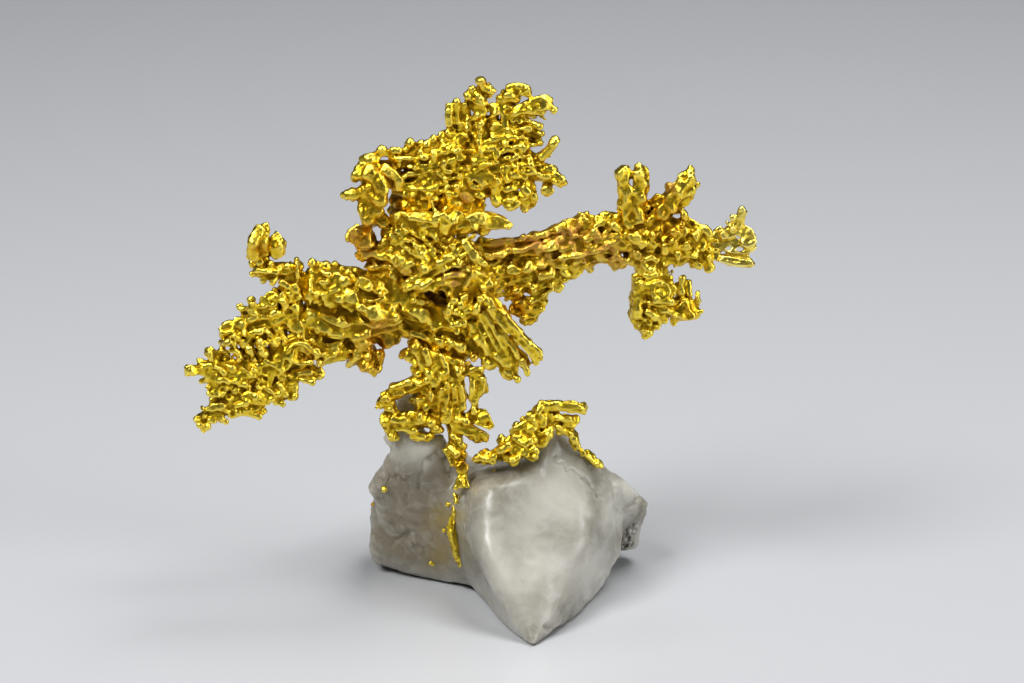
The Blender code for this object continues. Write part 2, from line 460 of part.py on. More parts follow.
def make_core(finish):
    """The dense middle, from the bright block beside the wing to the feather leaf that hangs at the right."""
    d = CORE_DEPTH
    shells = [
        crystal([(-9.6, 50.6, d, 2.4), (-5, 48.4, d, 3.6), (-0.6, 46.6, d + 0.2, 3.2), (2.0, 44.6, d, 2.2)], 0.95),
        crystal([(-9.0, 53.6, d, 1.9), (-4, 53.4, d, 2.8), (1.6, 53.0, d, 1.8)], 1.2),
        crystal([(-11, 46.4, d, 1.9), (-8, 43.8, d + 0.6, 2.7), (-5, 41.6, d + 1.0, 2.6), (-0.5, 40.4, d + 0.8, 2.2)], 1.0),
        crystal([(-19.6, 45.4, d - 0.6, 2.2), (-16.6, 44.6, d - 0.4, 2.9), (-12.6, 44.0, d - 0.2, 2.8), (-8.6, 44.2, d, 2.8)], 0.9),
        crystal([(-19.8, 41.6, d - 0.6, 2.1), (-16.4, 40.6, d - 0.2, 2.3), (-12, 40.4, d, 2.0), (-8.6, 40.8, d + 0.6, 1.5)], 1.0),
        crystal([(-20.6, 38.2, d - 1.0, 1.9), (-17.6, 37.0, d - 0.8, 1.5), (-14.8, 37.6, d, 1.2)], 0.9),
        crystal([(-21.2, 35.0, d - 1.2, 1.9), (-18.9, 34.3, d - 1.2, 0.9)], 0.8),
        crystal([(-20.6, 40.6, d - 0.8, 2.0), (-21.0, 34.6, d - 1.0, 1.8)], 0.8),
        crystal([(-14.4, 36.3, d - 0.4, 0.8), (-12.4, 36.5, d, 1.3), (-10.8, 36.3, d, 0.75)], 1.2),
        crystal([(-13.6, 39.4, d, 1.4), (-12.8, 36.8, d, 1.5), (-12.7, 34.9, d - 0.2, 1.05)], 1.1),
        crystal([(-12.0, 34.8, d, 0.6), (-10.8, 34.4, d, 0.3)]),
        crystal([(-11.4, 39.2, d + 0.4, 1.2), (-9.7, 38.5, d + 0.6, 1.3)], 1.1),
        crystal([(-14.9, 35.5, d, 0.5), (-13.6, 36.2, d, 0.6)]),
        crystal([(-13.7, 51.0, d - 0.3, 1.75), (-12.4, 50.8, d - 0.2, 1.6)], 1.1, 7, 0.5),
        crystal([(-13.2, 49.0, d, 1.0), (-10.4, 49.4, d, 1.6), (-8, 50.2, d, 1.6)], 1.2),
        crystal([(-12.4, 47.4, d + 0.4, 0.9), (-9.6, 47.6, d + 0.4, 1.8)], 1.2),
        crystal([(-10.6, 51.5, d - 0.4, 0.7), (-9.4, 51.6, d - 0.4, 0.8)]),
        crystal([(-19.4, 47.8, d - 0.4, 0.55), (-18.7, 47.2, d - 0.4, 0.7)], 1.4),
        crystal([(-18.2, 46.8, d - 0.2, 0.9), (-16.2, 46.8, d, 1.0), (-14.5, 46.4, d, 0.65)], 1.6),
        crystal([(-13.7, 45.5, d - 2.2, 0.75), (-12.2, 45.2, d - 2.2, 0.9), (-10.6, 44.4, d - 2.0, 0.8)], 1.2),
        crystal([(-13.2, 42.3, d - 2.6, 0.75), (-11.4, 41.5, d - 2.6, 1.15), (-9.2, 41.5, d - 2.2, 0.85)], 1.3),
        crystal([(-0.6, 52.9, d - 0.6, 0.9), (2.2, 52.9, d - 0.8, 0.98), (4.6, 52.4, d - 0.8, 0.5)], 0.8),
        crystal([(-0.8, 50.4, d - 3.4, 0.5), (1.5, 47.8, d - 3.4, 0.55)], 1.1),
        crystal([(1.4, 43.8, d - 2.6, 0.8), (4.6, 40.4, d - 2.8, 0.8), (8.1, 36.8, d - 2.8, 0.75)], 0.9),
        crystal([(0.8, 42.6, d - 1.8, 1.0), (3.4, 39.0, d - 2.0, 1.1), (6.9, 35.1, d - 2.2, 0.8)], 0.8),
        crystal([(0.2, 41.0, d - 1.0, 1.1), (2.6, 37.6, d - 1.4, 1.2), (5.4, 34.0, d - 1.8, 0.75)], 0.8),
        crystal([(0.8, 38.2, d - 0.4, 1.2), (2.8, 35.7, d - 0.8, 1.0)], 0.9),
        crystal([(0.0, 40.0, d, 1.4), (2.4, 36.8, d - 0.6, 1.1)], 0.9),
        crystal([(-8.6, 40.2, d + 1.0, 1.3), (-4.4, 39.0, d + 1.0, 1.9), (-0.2, 37.6, d + 0.6, 1.9)], 1.0),
        crystal([(-2.0, 44.6, d - 1.4, 1.2), (-1.4, 42.2, d - 1.8, 1.3), (-1.2, 40.2, d - 1.6, 1.2)], 0.9),
    ]
    shells += [knob(-2.2, 42.9, d - 2.7, 0.8), knob(-2.5, 41.7, d - 2.6, 0.8), knob(-1.9, 40.4, d - 2.4, 0.8),
               knob(-1.5, 39.6, d - 2.0, 0.7), knob(-0.6, 41.1, d - 2.6, 0.8), knob(-0.6, 43.4, d - 2.8, 0.75),
               knob(0.8, 42.4, d - 3.0, 0.8), knob(1.4, 43.4, d - 3.0, 0.7), knob(-0.6, 42.2, d - 2.4, 1.3),
               knob(8.2, 36.6, d - 2.8, 0.7), knob(7.9, 35.8, d - 2.6, 0.6), knob(7.0, 34.5, d - 2.2, 0.55),
               knob(-18.4, 34.1, d - 1.0, 0.75), knob(-18.2, 35.8, d - 1.0, 0.7), knob(-9.0, 41.3, d - 2.6, 0.85),
               knob(-13.5, 42.4, d - 2.8, 0.7), knob(-16.0, 43.4, d - 2.4, 0.85), knob(-6.0, 47.4, d - 2.8, 0.8)]
    shells += row((-18.4, 42.9, d - 2.6), (-18.2, 40.6, d - 2.2), 3, (3.0, -1.2, 0), 0.42, 1.2, 0.2)
    shells += row((-19.9, 42.4, d - 2.2), (-18.2, 43.4, d - 2.4), 3, (0.2, 2.0, 0), 0.32, 1.4, 0.2)
    shells += row((-10.2, 51.0, d - 2.0), (-7.4, 53.4, d - 2.0), 4, (3.0, -1.8, 0), 0.44, 1.3, 0.2)
    shells += row((-9.8, 48.0, d - 2.2), (-4.6, 52.0, d - 2.5), 6, (2.0, -2.2, 0), 0.46, 1.3, 0.2)
    shells += row((-8.6, 44.2, d - 2.2), (-4.4, 47.6, d - 2.9), 5, (3.0, 1.9, 0), 0.48, 1.3, 0.2)
    shells += row((-3.8, 45.2, d - 3.2), (-2.2, 50.4, d - 3.2), 5, (3.0, 1.4, 0), 0.45, 1.1, 0.3)
    shells += row((-8.4, 44.6, d - 3.0), (-4.6, 45.4, d - 3.2), 2, (2.6, 0.3, 0), 0.62, 0.7)
    shells += row((-19.4, 38.6, d - 2.6), (-17.2, 35.6, d - 2.2), 4, (-1.4, -1.0, 0), 0.4, 1.0, 0.2)
    for back in (1.8, 2.3):
        shells += row((-19, 44, d + back - 0.6), (-12, 41, d + back), 6, (1.6, 2.2, 0), 0.6, 0.9, 0.4)
        shells += row((-11, 46, d + back + 0.6), (-1, 42, d + back + 0.4), 7, (1.4, 2.4, 0), 0.62, 0.9, 0.5)
        shells += row((-9, 50, d + back), (1, 48, d + back), 6, (0.8, 2.6, 0), 0.62, 0.9, 0.5)
    cuts = [parting((-20.6, 50), (-20.6, 29), (-15, 40), 4.0), parting((-9.9, 54.0), (5, 54.0), (0, 48)),
            parting((-17, 52.35), (-9.8, 52.35), (-12, 50)), parting((0.3, 50.7), (7.0, 39.7), (-4, 42), 6.0),
            parting((-9.4, 39.2), (3.2, 34.1), (-4, 44), 6.0)]
    return limb("gold_core", shells, cuts, finish, 1740)


def make_arm(finish):
    """The layered arm to the right, its smooth hub and the three blunt fingers."""
    d = ARM_DEPTH
    shells = [
        crystal([(-0.6, 49.4, d, 0.9), (4.5, 49.3, d, 1.1), (8.8, 50.5, d, 1.1), (13.2, 52.3, d, 1.1), (18.0, 52.6, d, 1.2)], 1.1),
        crystal([(-0.6, 47.2, d, 1.7), (5.5, 47.6, d, 1.8), (11.5, 49.4, d, 2.0), (17.5, 50.6, d, 1.9), (21, 50.8, d, 2.0)], 0.9),
        crystal([(1.4, 45.6, d - 0.2, 1.3), (7, 46.0, d - 0.2, 1.3), (12.6, 47.6, d, 1.2), (16.4, 49.0, d, 1.1)], 1.0),
        crystal([(2.4, 44.2, d - 0.6, 0.9), (6.0, 44.9, d - 0.6, 0.9), (11.4, 46.2, d - 0.2, 0.85), (14.0, 47.4, d, 0.6)], 1.0),
        crystal([(4.2, 42.6, d - 0.4, 0.9), (6.4, 42.7, d - 0.4, 0.75), (9.2, 44.0, d - 0.2, 0.55)], 0.9),
        crystal([(5.6, 41.2, d, 0.9), (7.2, 41.6, d, 0.9), (8.6, 42.4, d, 0.6)], 0.9),
        crystal([(5.2, 44.6, d, 1.0), (5.6, 42.6, d, 1.1), (6.2, 40.4, d, 0.6)], 0.8),
        crystal([(2.4, 46.2, d, 1.3), (4.3, 43.2, d, 1.3), (6.3, 40.6, d, 0.9)], 1.0),
        crystal([(8.2, 45.2, d, 0.9), (8.9, 43.8, d, 0.7), (8.0, 42.4, d, 0.6)], 0.9),
        crystal([(10.6, 45.2, d - 0.2, 0.5), (10.9, 44.6, d - 0.2, 0.3)]),
        crystal([(17.4, 48.3, d - 0.4, 0.95), (18.6, 47.9, d - 0.4, 0.85)], 1.0),
        crystal([(17.6, 51.4, d, 2.1), (21.2, 51.0, d, 2.5), (24.6, 50.8, d, 2.2), (27.4, 50.4, d, 1.5)], 0.9),
        crystal([(19.6, 49.2, d, 1.6), (23.0, 48.8, d, 1.8), (26.4, 49.4, d, 1.3)], 1.0),
        crystal([(22.0, 48.4, d, 2.0), (22.2, 45.2, d, 1.9)], 0.9),
        crystal([(19.3, 52.6, d - 0.2, 0.9), (18.7, 56.6, d - 0.3, 0.75), (18.4, 58.9, d - 0.4, 0.55)], 1.0),
        crystal([(20.6, 52.4, d, 1.1), (20.7, 56.6, d, 0.85), (20.7, 59.2, d, 0.8)], 1.0),
        crystal([(22.0, 51.6, d, 1.4), (24.6, 55.4, d - 0.3, 1.15), (26.2, 58.0, d - 0.5, 0.8), (26.8, 58.9, d - 0.6, 0.4)], 0.9),
        crystal([(24.8, 54.2, d, 0.9), (26.2, 56.4, d - 0.4, 1.0), (27.2, 57.2, d - 0.6, 0.55)], 0.9),
        crystal([(22.4, 54.8, d + 0.8, 0.9), (23.0, 55.6, d + 0.8, 0.5)]),
        crystal([(23.8, 55.4, d + 0.8, 0.8), (24.3, 56.9, d + 0.8, 0.6)]),
        crystal([(25.6, 52.0, d, 1.2), (27.6, 51.8, d, 0.9), (28.6, 51.2, d, 0.6)], 1.2),
        crystal([(27.6, 51.6, d + 0.6, 0.8), (28.6, 49.6, d + 0.6, 0.9), (29.0, 47.5, d + 0.4, 0.75)], 1.1),
        crystal([(27.0, 49.8, d - 0.4, 0.9), (27.6, 47.6, d - 0.4, 0.65)], 1.0),
        crystal([(28.4, 50.8, d + 0.8, 0.5), (30.4, 50.7, d + 0.8, 0.4)], 1.0),
    ]
    shells += [knob(23.6, 49.3, d - 1.6, 0.6), knob(20.0, 51.1, d - 2.1, 0.7), knob(22.2, 51.2, d - 2.3, 0.6),
               knob(27.4, 51.0, d - 1.2, 0.75), knob(25.4, 48.9, d - 1.6, 0.6), knob(24.8, 51.4, d - 2.0, 0.55),
               knob(13.6, 52.9, d, 0.75), knob(8.3, 51.2, d, 0.6), knob(26.2, 50.2, d - 1.5, 0.6)]
    for front in (-1.0, 1.0):
        shells += row((1.6, 49.6, d + front), (14, 52.6, d + front), 5, (3.2, 0.5, 0), 0.42, 0.9, 0.3)
        shells += row((1.2, 48.4, d + front * 1.6), (13.6, 50.8, d + front * 1.6), 6, (3.6, 0.8, 0), 0.45, 0.8, 0.3)
        shells += row((2.2, 46.6, d + front * 1.6), (14.6, 48.8, d + front * 1.6), 6, (3.0, 1.0, 0), 0.45, 0.8, 0.3)
        shells += row((2.8, 44.8, d + front * 1.2), (9, 45.8, d + front * 1.0), 3, (3.4, 0.9, 0), 0.42, 0.8, 0.2)
        shells += row((18.4, 50, d + front * 2.0), (25.4, 50.4, d + front * 2.0), 5, (1.2, 1.5, 0), 0.5, 0.9, 0.3)
        shells += row((23.2, 53.2, d + front * 0.8), (25.6, 56.4, d + front * 0.6), 3, (-1.0, 1.2, 0), 0.32, 1.0, 0.1)
    cuts = [parting((-0.3, 51.7), (7.0, 39.7), (15, 50)), parting((19, 46.5), (26.4, 46.5), (22, 52), 4.0),
            parting((29.7, 45), (29.7, 55), (20, 50))]
    return limb("gold_arm", shells, cuts, finish, 1340)


def make_drop(finish):
    """The lobe that hangs from the hub: a smooth shell, a knobbed column and a bowl with small uprights."""
    d = ARM_DEPTH - 0.6
    shells = [
        crystal([(22.4, 47.6, d + 0.4, 1.9), (22.4, 45.6, d + 0.4, 2.2), (22.6, 44.0, d, 1.9)], 0.9),
        crystal([(20.6, 47.2, d + 0.6, 0.9), (20.5, 44.6, d, 0.9), (20.6, 41.8, d, 1.1), (21.3, 39.2, d - 0.2, 0.55)], 1.1),
        crystal([(22.2, 45.0, d - 0.9, 1.2), (23.4, 44.0, d - 1.2, 1.5), (24.2, 43.4, d - 1.0, 0.9)], 0.9),
        crystal([(21.4, 43.2, d, 1.1), (22.6, 41.6, d, 1.2), (23.4, 40.9, d, 0.7)], 1.1),
        crystal([(21.8, 41.4, d + 0.4, 1.1), (22.3, 39.9, d + 0.4, 0.7)], 1.0),
        crystal([(22.6, 42.8, d, 1.1), (25.2, 42.0, d, 1.2), (27.2, 41.9, d + 0.2, 0.9)], 1.2),
        crystal([(24.8, 41.2, d + 0.2, 0.7), (26.8, 41.4, d + 0.2, 0.75), (28.2, 42.0, d + 0.2, 0.3)], 1.2),
        crystal([(25.6, 42.8, d + 0.6, 0.6), (25.6, 44.6, d + 0.6, 0.65), (26.0, 45.8, d + 0.6, 0.5)], 1.0),
        crystal([(26.6, 42.6, d + 0.8, 0.5), (26.6, 44.2, d + 0.8, 0.4)]),
        crystal([(27.6, 42.4, d + 0.4, 0.45), (27.8, 43.9, d + 0.4, 0.35)]),
        crystal([(22.2, 43.2, d - 1.8, 0.4), (24.8, 43.1, d - 1.9, 0.4)], 1.0),
        knob(20.3, 43.4, d, 0.7), knob(20.4, 41.0, d - 0.4, 0.7), knob(21.4, 38.9, d - 0.2, 0.6),
        knob(24.4, 46.4, d + 0.4, 0.6), knob(22.9, 40.3, d - 0.2, 0.55), knob(24.9, 41.0, d, 0.6),
    ]
    shells += row((20.2, 46.0, d + 1.6), (24.0, 43.4, d + 1.8), 4, (0.4, -1.9, 0), 0.6, 0.9, 0.2)
    cuts = [parting((18, 46.5), (25.2, 46.5), (22, 40))]
    return limb("gold_drop", shells, cuts, finish, 500)


def slab(outline, depth, thickness):
    """A flat plate of this outline in the view, its rim chamfered all round."""
    middle = seen(*outline[0], depth)
    rim = np.array([seen_on(*place, middle, INTO_VIEW) for place in outline])
    front, back = rim - INTO_VIEW * thickness / 2, rim + INTO_VIEW * thickness / 2
    count = len(rim)
    faces = [tuple(range(count)), tuple(range(2 * count - 1, count - 1, -1))]
    faces += [(n, n + count, (n + 1) % count + count, (n + 1) % count) for n in range(count)]
    return np.vstack([front, back]), faces


def make_plate(finish):
    """The thin netted plate at the far right, with its holes, its looped twig and the bar below."""
    d = PLATE_DEPTH
    sheet = [(29.3, 50.0), (29.4, 51.4), (30.2, 52.2), (31.0, 52.1), (31.6, 52.7), (32.6, 52.9), (33.5, 52.5),
             (34.4, 51.7), (34.9, 50.5), (35.0, 49.6), (34.2, 49.1), (33.4, 48.8), (30.6, 49.2), (30.0, 49.3)]
    bar = [(29.5, 48.8), (31.6, 48.9), (33.4, 49.0), (34.0, 48.7), (34.8, 47.6), (34.2, 47.2), (31.6, 47.4), (29.9, 48.2)]
    shells = [
        slab(sheet, d, 1.0), slab(bar, d, 1.3),
        crystal([(30.0, 50.2, d, 0.5), (30.1, 48.4, d, 0.5)], 1.2),
        crystal([(33.8, 49.6, d, 0.45), (33.6, 48.4, d, 0.45)], 1.2),
        crystal([(32.5, 52.2, d, 0.4), (31.8, 53.6, d, 0.3)]),
        crystal([(32.4, 52.6, d, 0.36), (33.0, 54.4, d, 0.32)]),
        crystal([(33.0, 52.2, d, 0.36), (33.5, 54.0, d, 0.32), (33.1, 54.6, d, 0.3)]),
        knob(30.9, 51.0, d - 0.4, 0.5), knob(34.1, 50.0, d - 0.4, 0.5), knob(32.0, 51.9, d - 0.4, 0.45),
    ]
    holes = [
        slab([(31.0, 49.4), (31.5, 49.9), (32.0, 49.7), (31.6, 49.25)], d, 6.0),
        slab([(32.3, 49.2), (32.6, 49.7), (33.5, 49.7), (33.2, 49.15)], d, 6.0),
        slab([(31.9, 51.4), (34.2, 50.9), (34.1, 50.4), (32.4, 50.8)], d, 6.0),
    ]
    cuts = [parting((29.7, 45), (29.7, 55), (33, 50))]
    return limb("gold_plate", shells, cuts + holes, finish, 300)


def make_stem(finish, clear_of):
    """The column that carries it all, rooted between the quartz lobes and draped over the left one."""
    d = 3.4
    shells = [
        crystal([(-5.6, 41.0, d + 1, 2.6), (-5.0, 37.6, d + 1, 3.0), (-3.6, 33.4, d + 0.8, 2.8), (-2.6, 29.6, d + 0.6, 2.0)], 0.9),
        crystal([(-2.0, 38.6, d + 0.6, 1.9), (-1.6, 35.4, d + 0.6, 1.6)], 1.1),
        crystal([(-1.8, 35.0, d, 1.1), (-1.5, 31.0, d, 0.9), (-1.8, 28.6, d, 0.9)], 1.2),
        crystal([(-7.6, 36.9, d + 0.6, 0.85), (-5.8, 36.4, d + 0.4, 1.2)], 1.1),
        crystal([(-6.8, 34.6, d + 0.4, 0.85), (-5.0, 34.0, d + 0.4, 1.2)], 1.1),
        crystal([(-5.0, 33.4, d, 1.1), (-8.0, 32.5, d - 0.2, 0.95), (-10.0, 31.4, d - 0.2, 0.8), (-11.2, 30.7, d - 0.2, 0.5)], 1.0),
        crystal([(-9.8, 31.2, d - 0.2, 0.7), (-9.6, 29.0, d, 0.9), (-9.6, 27.0, d + 0.4, 0.8)], 1.1),
        crystal([(-9.9, 28.8, d, 1.1), (-7.8, 28.4, d - 0.4, 0.9), (-6.0, 28.6, d - 0.4, 1.0), (-4.4, 28.4, d - 0.2, 0.95)], 1.2),
        crystal([(-4.6, 28.2, d - 0.3, 0.7), (-4.0, 27.4, d - 0.3, 0.45)]),
        crystal([(-6.9, 27.6, d, 0.8), (-6.4, 26.6, d, 0.65), (-4.9, 26.8, d, 0.5)], 1.2),
        crystal([(-6.0, 31.6, d + 1.0, 1.3), (-5.6, 29.0, d + 0.8, 1.3)], 1.1),
        crystal([(0.9, 34.6, d - 0.2, 0.8), (0.6, 31.2, d - 0.2, 0.5), (0.6, 29.2, d - 0.2, 0.5)], 1.0),
        crystal([(1.4, 33.9, d - 0.2, 0.7), (1.3, 32.6, d - 0.2, 0.7)], 0.9),
        crystal([(-2.4, 34.4, d + 0.2, 1.1), (0.8, 35.0, d, 0.9)], 1.1),
        crystal([(0.7, 29.3, d - 0.2, 0.7), (1.7, 28.8, d - 0.3, 0.8), (2.3, 28.0, d - 0.4, 0.35)], 0.7),
        crystal([(-2.2, 28.0, d, 0.7), (-0.4, 27.5, d - 0.2, 0.75), (1.7, 26.5, d - 0.5, 0.7)], 0.8),
        crystal([(-0.6, 28.8, d - 0.2, 0.6), (0.9, 29.0, d - 0.2, 0.5)], 1.0),
        crystal([(-2.0, 29.4, d + 0.4, 1.1), (-1.8, 26.4, d - 0.2, 0.95), (-1.4, 24.0, d - 1.2, 0.9), (-1.0, 21.6, d - 2.4, 0.45)], 1.2),
        crystal([(-2.7, 25.2, d - 0.8, 0.5), (-2.2, 23.8, d - 1.6, 0.45)], 1.0),
        crystal([(-0.9, 25.2, d - 1.0, 0.4), (-0.6, 24.4, d - 1.4, 0.35)], 1.0),
    ]
    shells += [knob(-0.4, 28.6, d - 0.4, 0.65), knob(-10.9, 30.4, d - 0.2, 0.6), knob(-8.0, 36.7, d + 0.6, 0.7)]
    shells += row((-6.4, 38.0, d - 1.2), (-4.4, 38.8, d - 1.2), 3, (0.9, -2.6, 0), 0.45, 1.0, 0.2)
    shells += row((-5.6, 34.4, d - 1.2), (-2.4, 34.8, d - 1.0), 4, (0.5, -2.8, 0), 0.45, 1.0, 0.2)
    shells += row((-6.6, 38.4, d + 3.0), (-2.6, 37.6, d + 3.0), 4, (0.9, -3.0, 0), 0.6, 0.9, 0.3)
    shells += row((-5.6, 34.0, d + 2.8), (-1.8, 33.4, d + 2.6), 4, (0.6, -3.0, 0), 0.6, 0.9, 0.3)
    cuts = [parting((-12, 40.25), (3.2, 34.1), (-3, 30), 14.0)]
    return limb("gold_stem", shells, cuts, finish, 700, clear_of)


def make_crest(finish, clear_of):
    """The leafy ridge and flat prisms that ride on the right crystal."""
    shells = [
        crystal([(0.6, 23.9, 2.2, 0.7), (2.6, 24.2, 1.4, 0.8), (4.6, 25.2, 1.2, 1.0), (6.4, 26.9, 1.4, 1.1),
                 (8.0, 28.8, 2.0, 1.0), (8.7, 30.5, 2.4, 0.6)], 1.0),
        crystal([(4.2, 23.9, 0.4, 0.6), (5.4, 23.8, 0.0, 0.7)], 1.0),
        crystal([(6.4, 24.8, 0.4, 0.8), (7.9, 24.1, 0.4, 0.75)], 1.0),
        crystal([(5.2, 25.2, 0.8, 0.9), (7.6, 26.2, 1.0, 1.1)], 0.9),
        crystal([(8.4, 30.4, 2.4, 0.6), (11.4, 30.3, 2.8, 0.64), (13.7, 30.0, 3.2, 0.68)], 1.2, 5),
        crystal([(9.2, 29.8, 2.8, 0.8), (9.2, 27.4, 2.0, 0.85), (8.4, 25.6, 1.2, 0.6)], 1.0),
        crystal([(10.0, 29.0, 3.2, 0.65), (12.5, 28.5, 3.6, 0.78)], 1.1, 5),
        crystal([(10.4, 29.6, 3.0, 0.5), (10.8, 27.4, 3.0, 0.5)], 1.2),
        crystal([(11.6, 28.4, 3.4, 0.6), (12.6, 26.6, 3.4, 0.55), (13.2, 25.4, 3.6, 0.4)], 1.2),
        crystal([(13.0, 25.5, 3.8, 0.35), (14.4, 24.3, 4.2, 0.3), (15.6, 23.2, 4.8, 0.3)], 2.0, 5),
    ]
    shells += row((2.6, 24.4, 2.2), (7.6, 28.6, 3.2), 5, (-0.7, 0.5, 0.8), 0.6, 1.0, 0.2)
    shells += row((3.4, 24.2, 0.6), (7.6, 26.6, 1.0), 4, (0.8, -0.6, -0.2), 0.5, 1.0, 0.2)
    return limb("gold_crest", shells, [], finish, 420, clear_of)


def make_seam(finish, clear_of):
    """The thin blade of gold in the crevice between the quartz lobes."""
    shells = [
        crystal([(-1.6, 19.6, 1.4, 0.4), (-2.2, 15.2, 2.6, 0.5), (-1.8, 13.0, 3.0, 0.5), (-1.2, 11.2, 3.2, 0.4)], 2.2, 6),
        crystal([(-1.9, 16.4, 2.2, 0.4), (-1.6, 13.6, 2.6, 0.4)], 2.0, 5),
    ]
    return limb("gold_seam", shells, [], finish, 60, clear_of)


def centre(things):
    """Moves the specimen so that the origin is below the middle of its box, on the surface it stands on."""
    points = np.vstack([np.array([vert.co for vert in thing.data.vertices]) for thing in things]) / MM
    low, high = points.min(axis=0), points.max(axis=0)
    print("box", low, high, "middle", (low + high) / 2, "size", high - low)
    move = Vector((-(low[0] + high[0]) / 2, -(low[1] + high[1]) / 2, -low[2]))
    for thing in things:
        for vert in thing.data.vertices:
            vert.co += move * MM
    return move


dice = np.random.default_rng(SEED)
clear_scene()
gold = material("gold", GOLD, 0.28, 1.0)
quartz = material("milky_quartz", QUARTZ, 0.42, 0.0)
grown_quartz = [hull(points, GAP) for points in quartz_stones()]
specimen = [
    make_quartz(quartz),
    make_wing(gold),
    make_hook(gold),
    make_fan(gold),
    make_core(gold),
    make_arm(gold),
    make_drop(gold),
    make_plate(gold),
    make_stem(gold, grown_quartz),
    make_crest(gold, grown_quartz),
    make_seam(gold, grown_quartz),
]
moved = centre(specimen)
print("moved", moved)
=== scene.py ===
# %% [markdown]
# # Crystallised gold on milky quartz
#
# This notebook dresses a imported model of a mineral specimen: branching gold that grew on a lump of white
# quartz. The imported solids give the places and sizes. Here each of them gets the fine surface that the
# real one has: thousands of small, rounded skeletal crystals on the gold, and the smooth, chipped, cloudy
# faces of the quartz. Everything is written in millimetres and turned into metres at the very end.

import math

import bpy
import bmesh
import numpy as np
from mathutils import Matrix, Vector
from mathutils.bvhtree import BVHTree


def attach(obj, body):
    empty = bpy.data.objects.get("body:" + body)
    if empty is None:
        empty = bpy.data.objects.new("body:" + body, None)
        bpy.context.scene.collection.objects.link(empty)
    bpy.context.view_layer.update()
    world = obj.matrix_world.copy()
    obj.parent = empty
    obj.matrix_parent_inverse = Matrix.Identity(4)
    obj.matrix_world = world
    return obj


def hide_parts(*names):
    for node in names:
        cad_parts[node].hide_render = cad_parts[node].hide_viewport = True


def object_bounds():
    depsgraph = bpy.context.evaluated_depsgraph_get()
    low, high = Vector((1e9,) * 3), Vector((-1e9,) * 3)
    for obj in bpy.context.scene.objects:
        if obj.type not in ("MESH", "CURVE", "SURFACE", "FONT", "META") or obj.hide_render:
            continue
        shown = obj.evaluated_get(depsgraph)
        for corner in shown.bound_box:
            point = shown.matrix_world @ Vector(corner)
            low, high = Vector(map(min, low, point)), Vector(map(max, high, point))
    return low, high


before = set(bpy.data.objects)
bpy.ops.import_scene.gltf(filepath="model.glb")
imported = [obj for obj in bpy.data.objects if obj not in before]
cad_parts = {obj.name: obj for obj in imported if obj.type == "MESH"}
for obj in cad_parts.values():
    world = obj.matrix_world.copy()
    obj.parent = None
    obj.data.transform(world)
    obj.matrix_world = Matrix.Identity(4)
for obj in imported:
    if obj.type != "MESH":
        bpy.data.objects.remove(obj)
CAD_BOX = [list(corner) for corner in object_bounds()]
MM = 0.001
LOW, HIGH = np.array(CAD_BOX) / MM
print("packed box in mm", LOW.round(2), HIGH.round(2))

# %% [markdown]
# ## The view that the specimen is laid out in
# A mineral photographer looks down on a specimen by about twenty degrees, from half a metre. Places on
# the front are written here as they are seen from there: millimetres across and up in that picture. A ray
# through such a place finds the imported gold, so a ridge that is drawn in the picture lies on the real
# surface.

# %% The picture ruler
VIEW_TILT = math.radians(20.0)
VIEW_DISTANCE = 450.0
AIM = np.array((4.938, 1.741, 33.43))  # the point in space that the camera looks at
AIM_ACROSS, AIM_UP = 5.1, 38.2  # the same point on the picture ruler
INTO_VIEW = np.array((0.0, math.cos(VIEW_TILT), -math.sin(VIEW_TILT)))
UP_VIEW = np.array((0.0, math.sin(VIEW_TILT), math.cos(VIEW_TILT)))
RAY_START = 60.0  # how far before the plane through AIM a ray starts
RAY_REACH = 140.0


def sight(places):
    """Start and direction of the rays through places on the ruler. A ray starts on the plane through AIM
    that faces the camera and runs along the view, spread by the distance from the middle over the viewing
    distance."""
    places = np.atleast_2d(places)
    beside = np.zeros((len(places), 3))
    beside[:, 0] = places[:, 0] - AIM_ACROSS
    beside += (places[:, 1] - AIM_UP)[:, None] * UP_VIEW
    ways = INTO_VIEW + beside / VIEW_DISTANCE
    return AIM + beside, ways / np.linalg.norm(ways, axis=1)[:, None]


def seen(across, up, depth):
    """The place in space of a point seen at (across, up) that lies at this depth along Y."""
    start, way = sight((across, up))
    return start[0] + way[0] * (depth - start[0][1]) / way[0][1]


def on_ruler(points):
    """Where points in space are seen: their offsets from the camera, scaled by viewing distance over
    depth."""
    away = points - (AIM - INTO_VIEW * VIEW_DISTANCE)
    scale = VIEW_DISTANCE / (away * INTO_VIEW).sum(axis=1)
    return np.stack([AIM_ACROSS + away[:, 0] * scale, AIM_UP + (away * UP_VIEW).sum(axis=1) * scale], axis=1)


# %% [markdown]
# ## Small helpers
# Growth needs chance that comes out the same each time, so every draw comes from a seeded generator.
# Unevenness that changes slowly over the specimen is a sum of sine waves that run in many directions:
# cheap, and smooth. The other helpers even out a row of values, and say how near a place is to the
# patches of a table.

# %% Waves, rows and patches
def waves(points, length, seed, count=24):
    """Smooth unevenness between about -1 and 1: the sum of count sine waves of this wavelength, each
    running in its own direction with its own start, divided by the square root of half their number."""
    dice = np.random.default_rng(seed)
    ways = dice.normal(size=(count, 3))
    ways *= (dice.uniform(0.7, 1.4, count) / np.linalg.norm(ways, axis=1) * 2 * math.pi / length)[:, None]
    starts = dice.uniform(0, 2 * math.pi, count)
    return np.sin(points @ ways.T + starts).sum(axis=-1) / math.sqrt(count / 2)


def unit(vectors):
    """The same directions, each with length one."""
    return vectors / np.maximum(np.linalg.norm(vectors, axis=-1), 1e-9)[..., None]


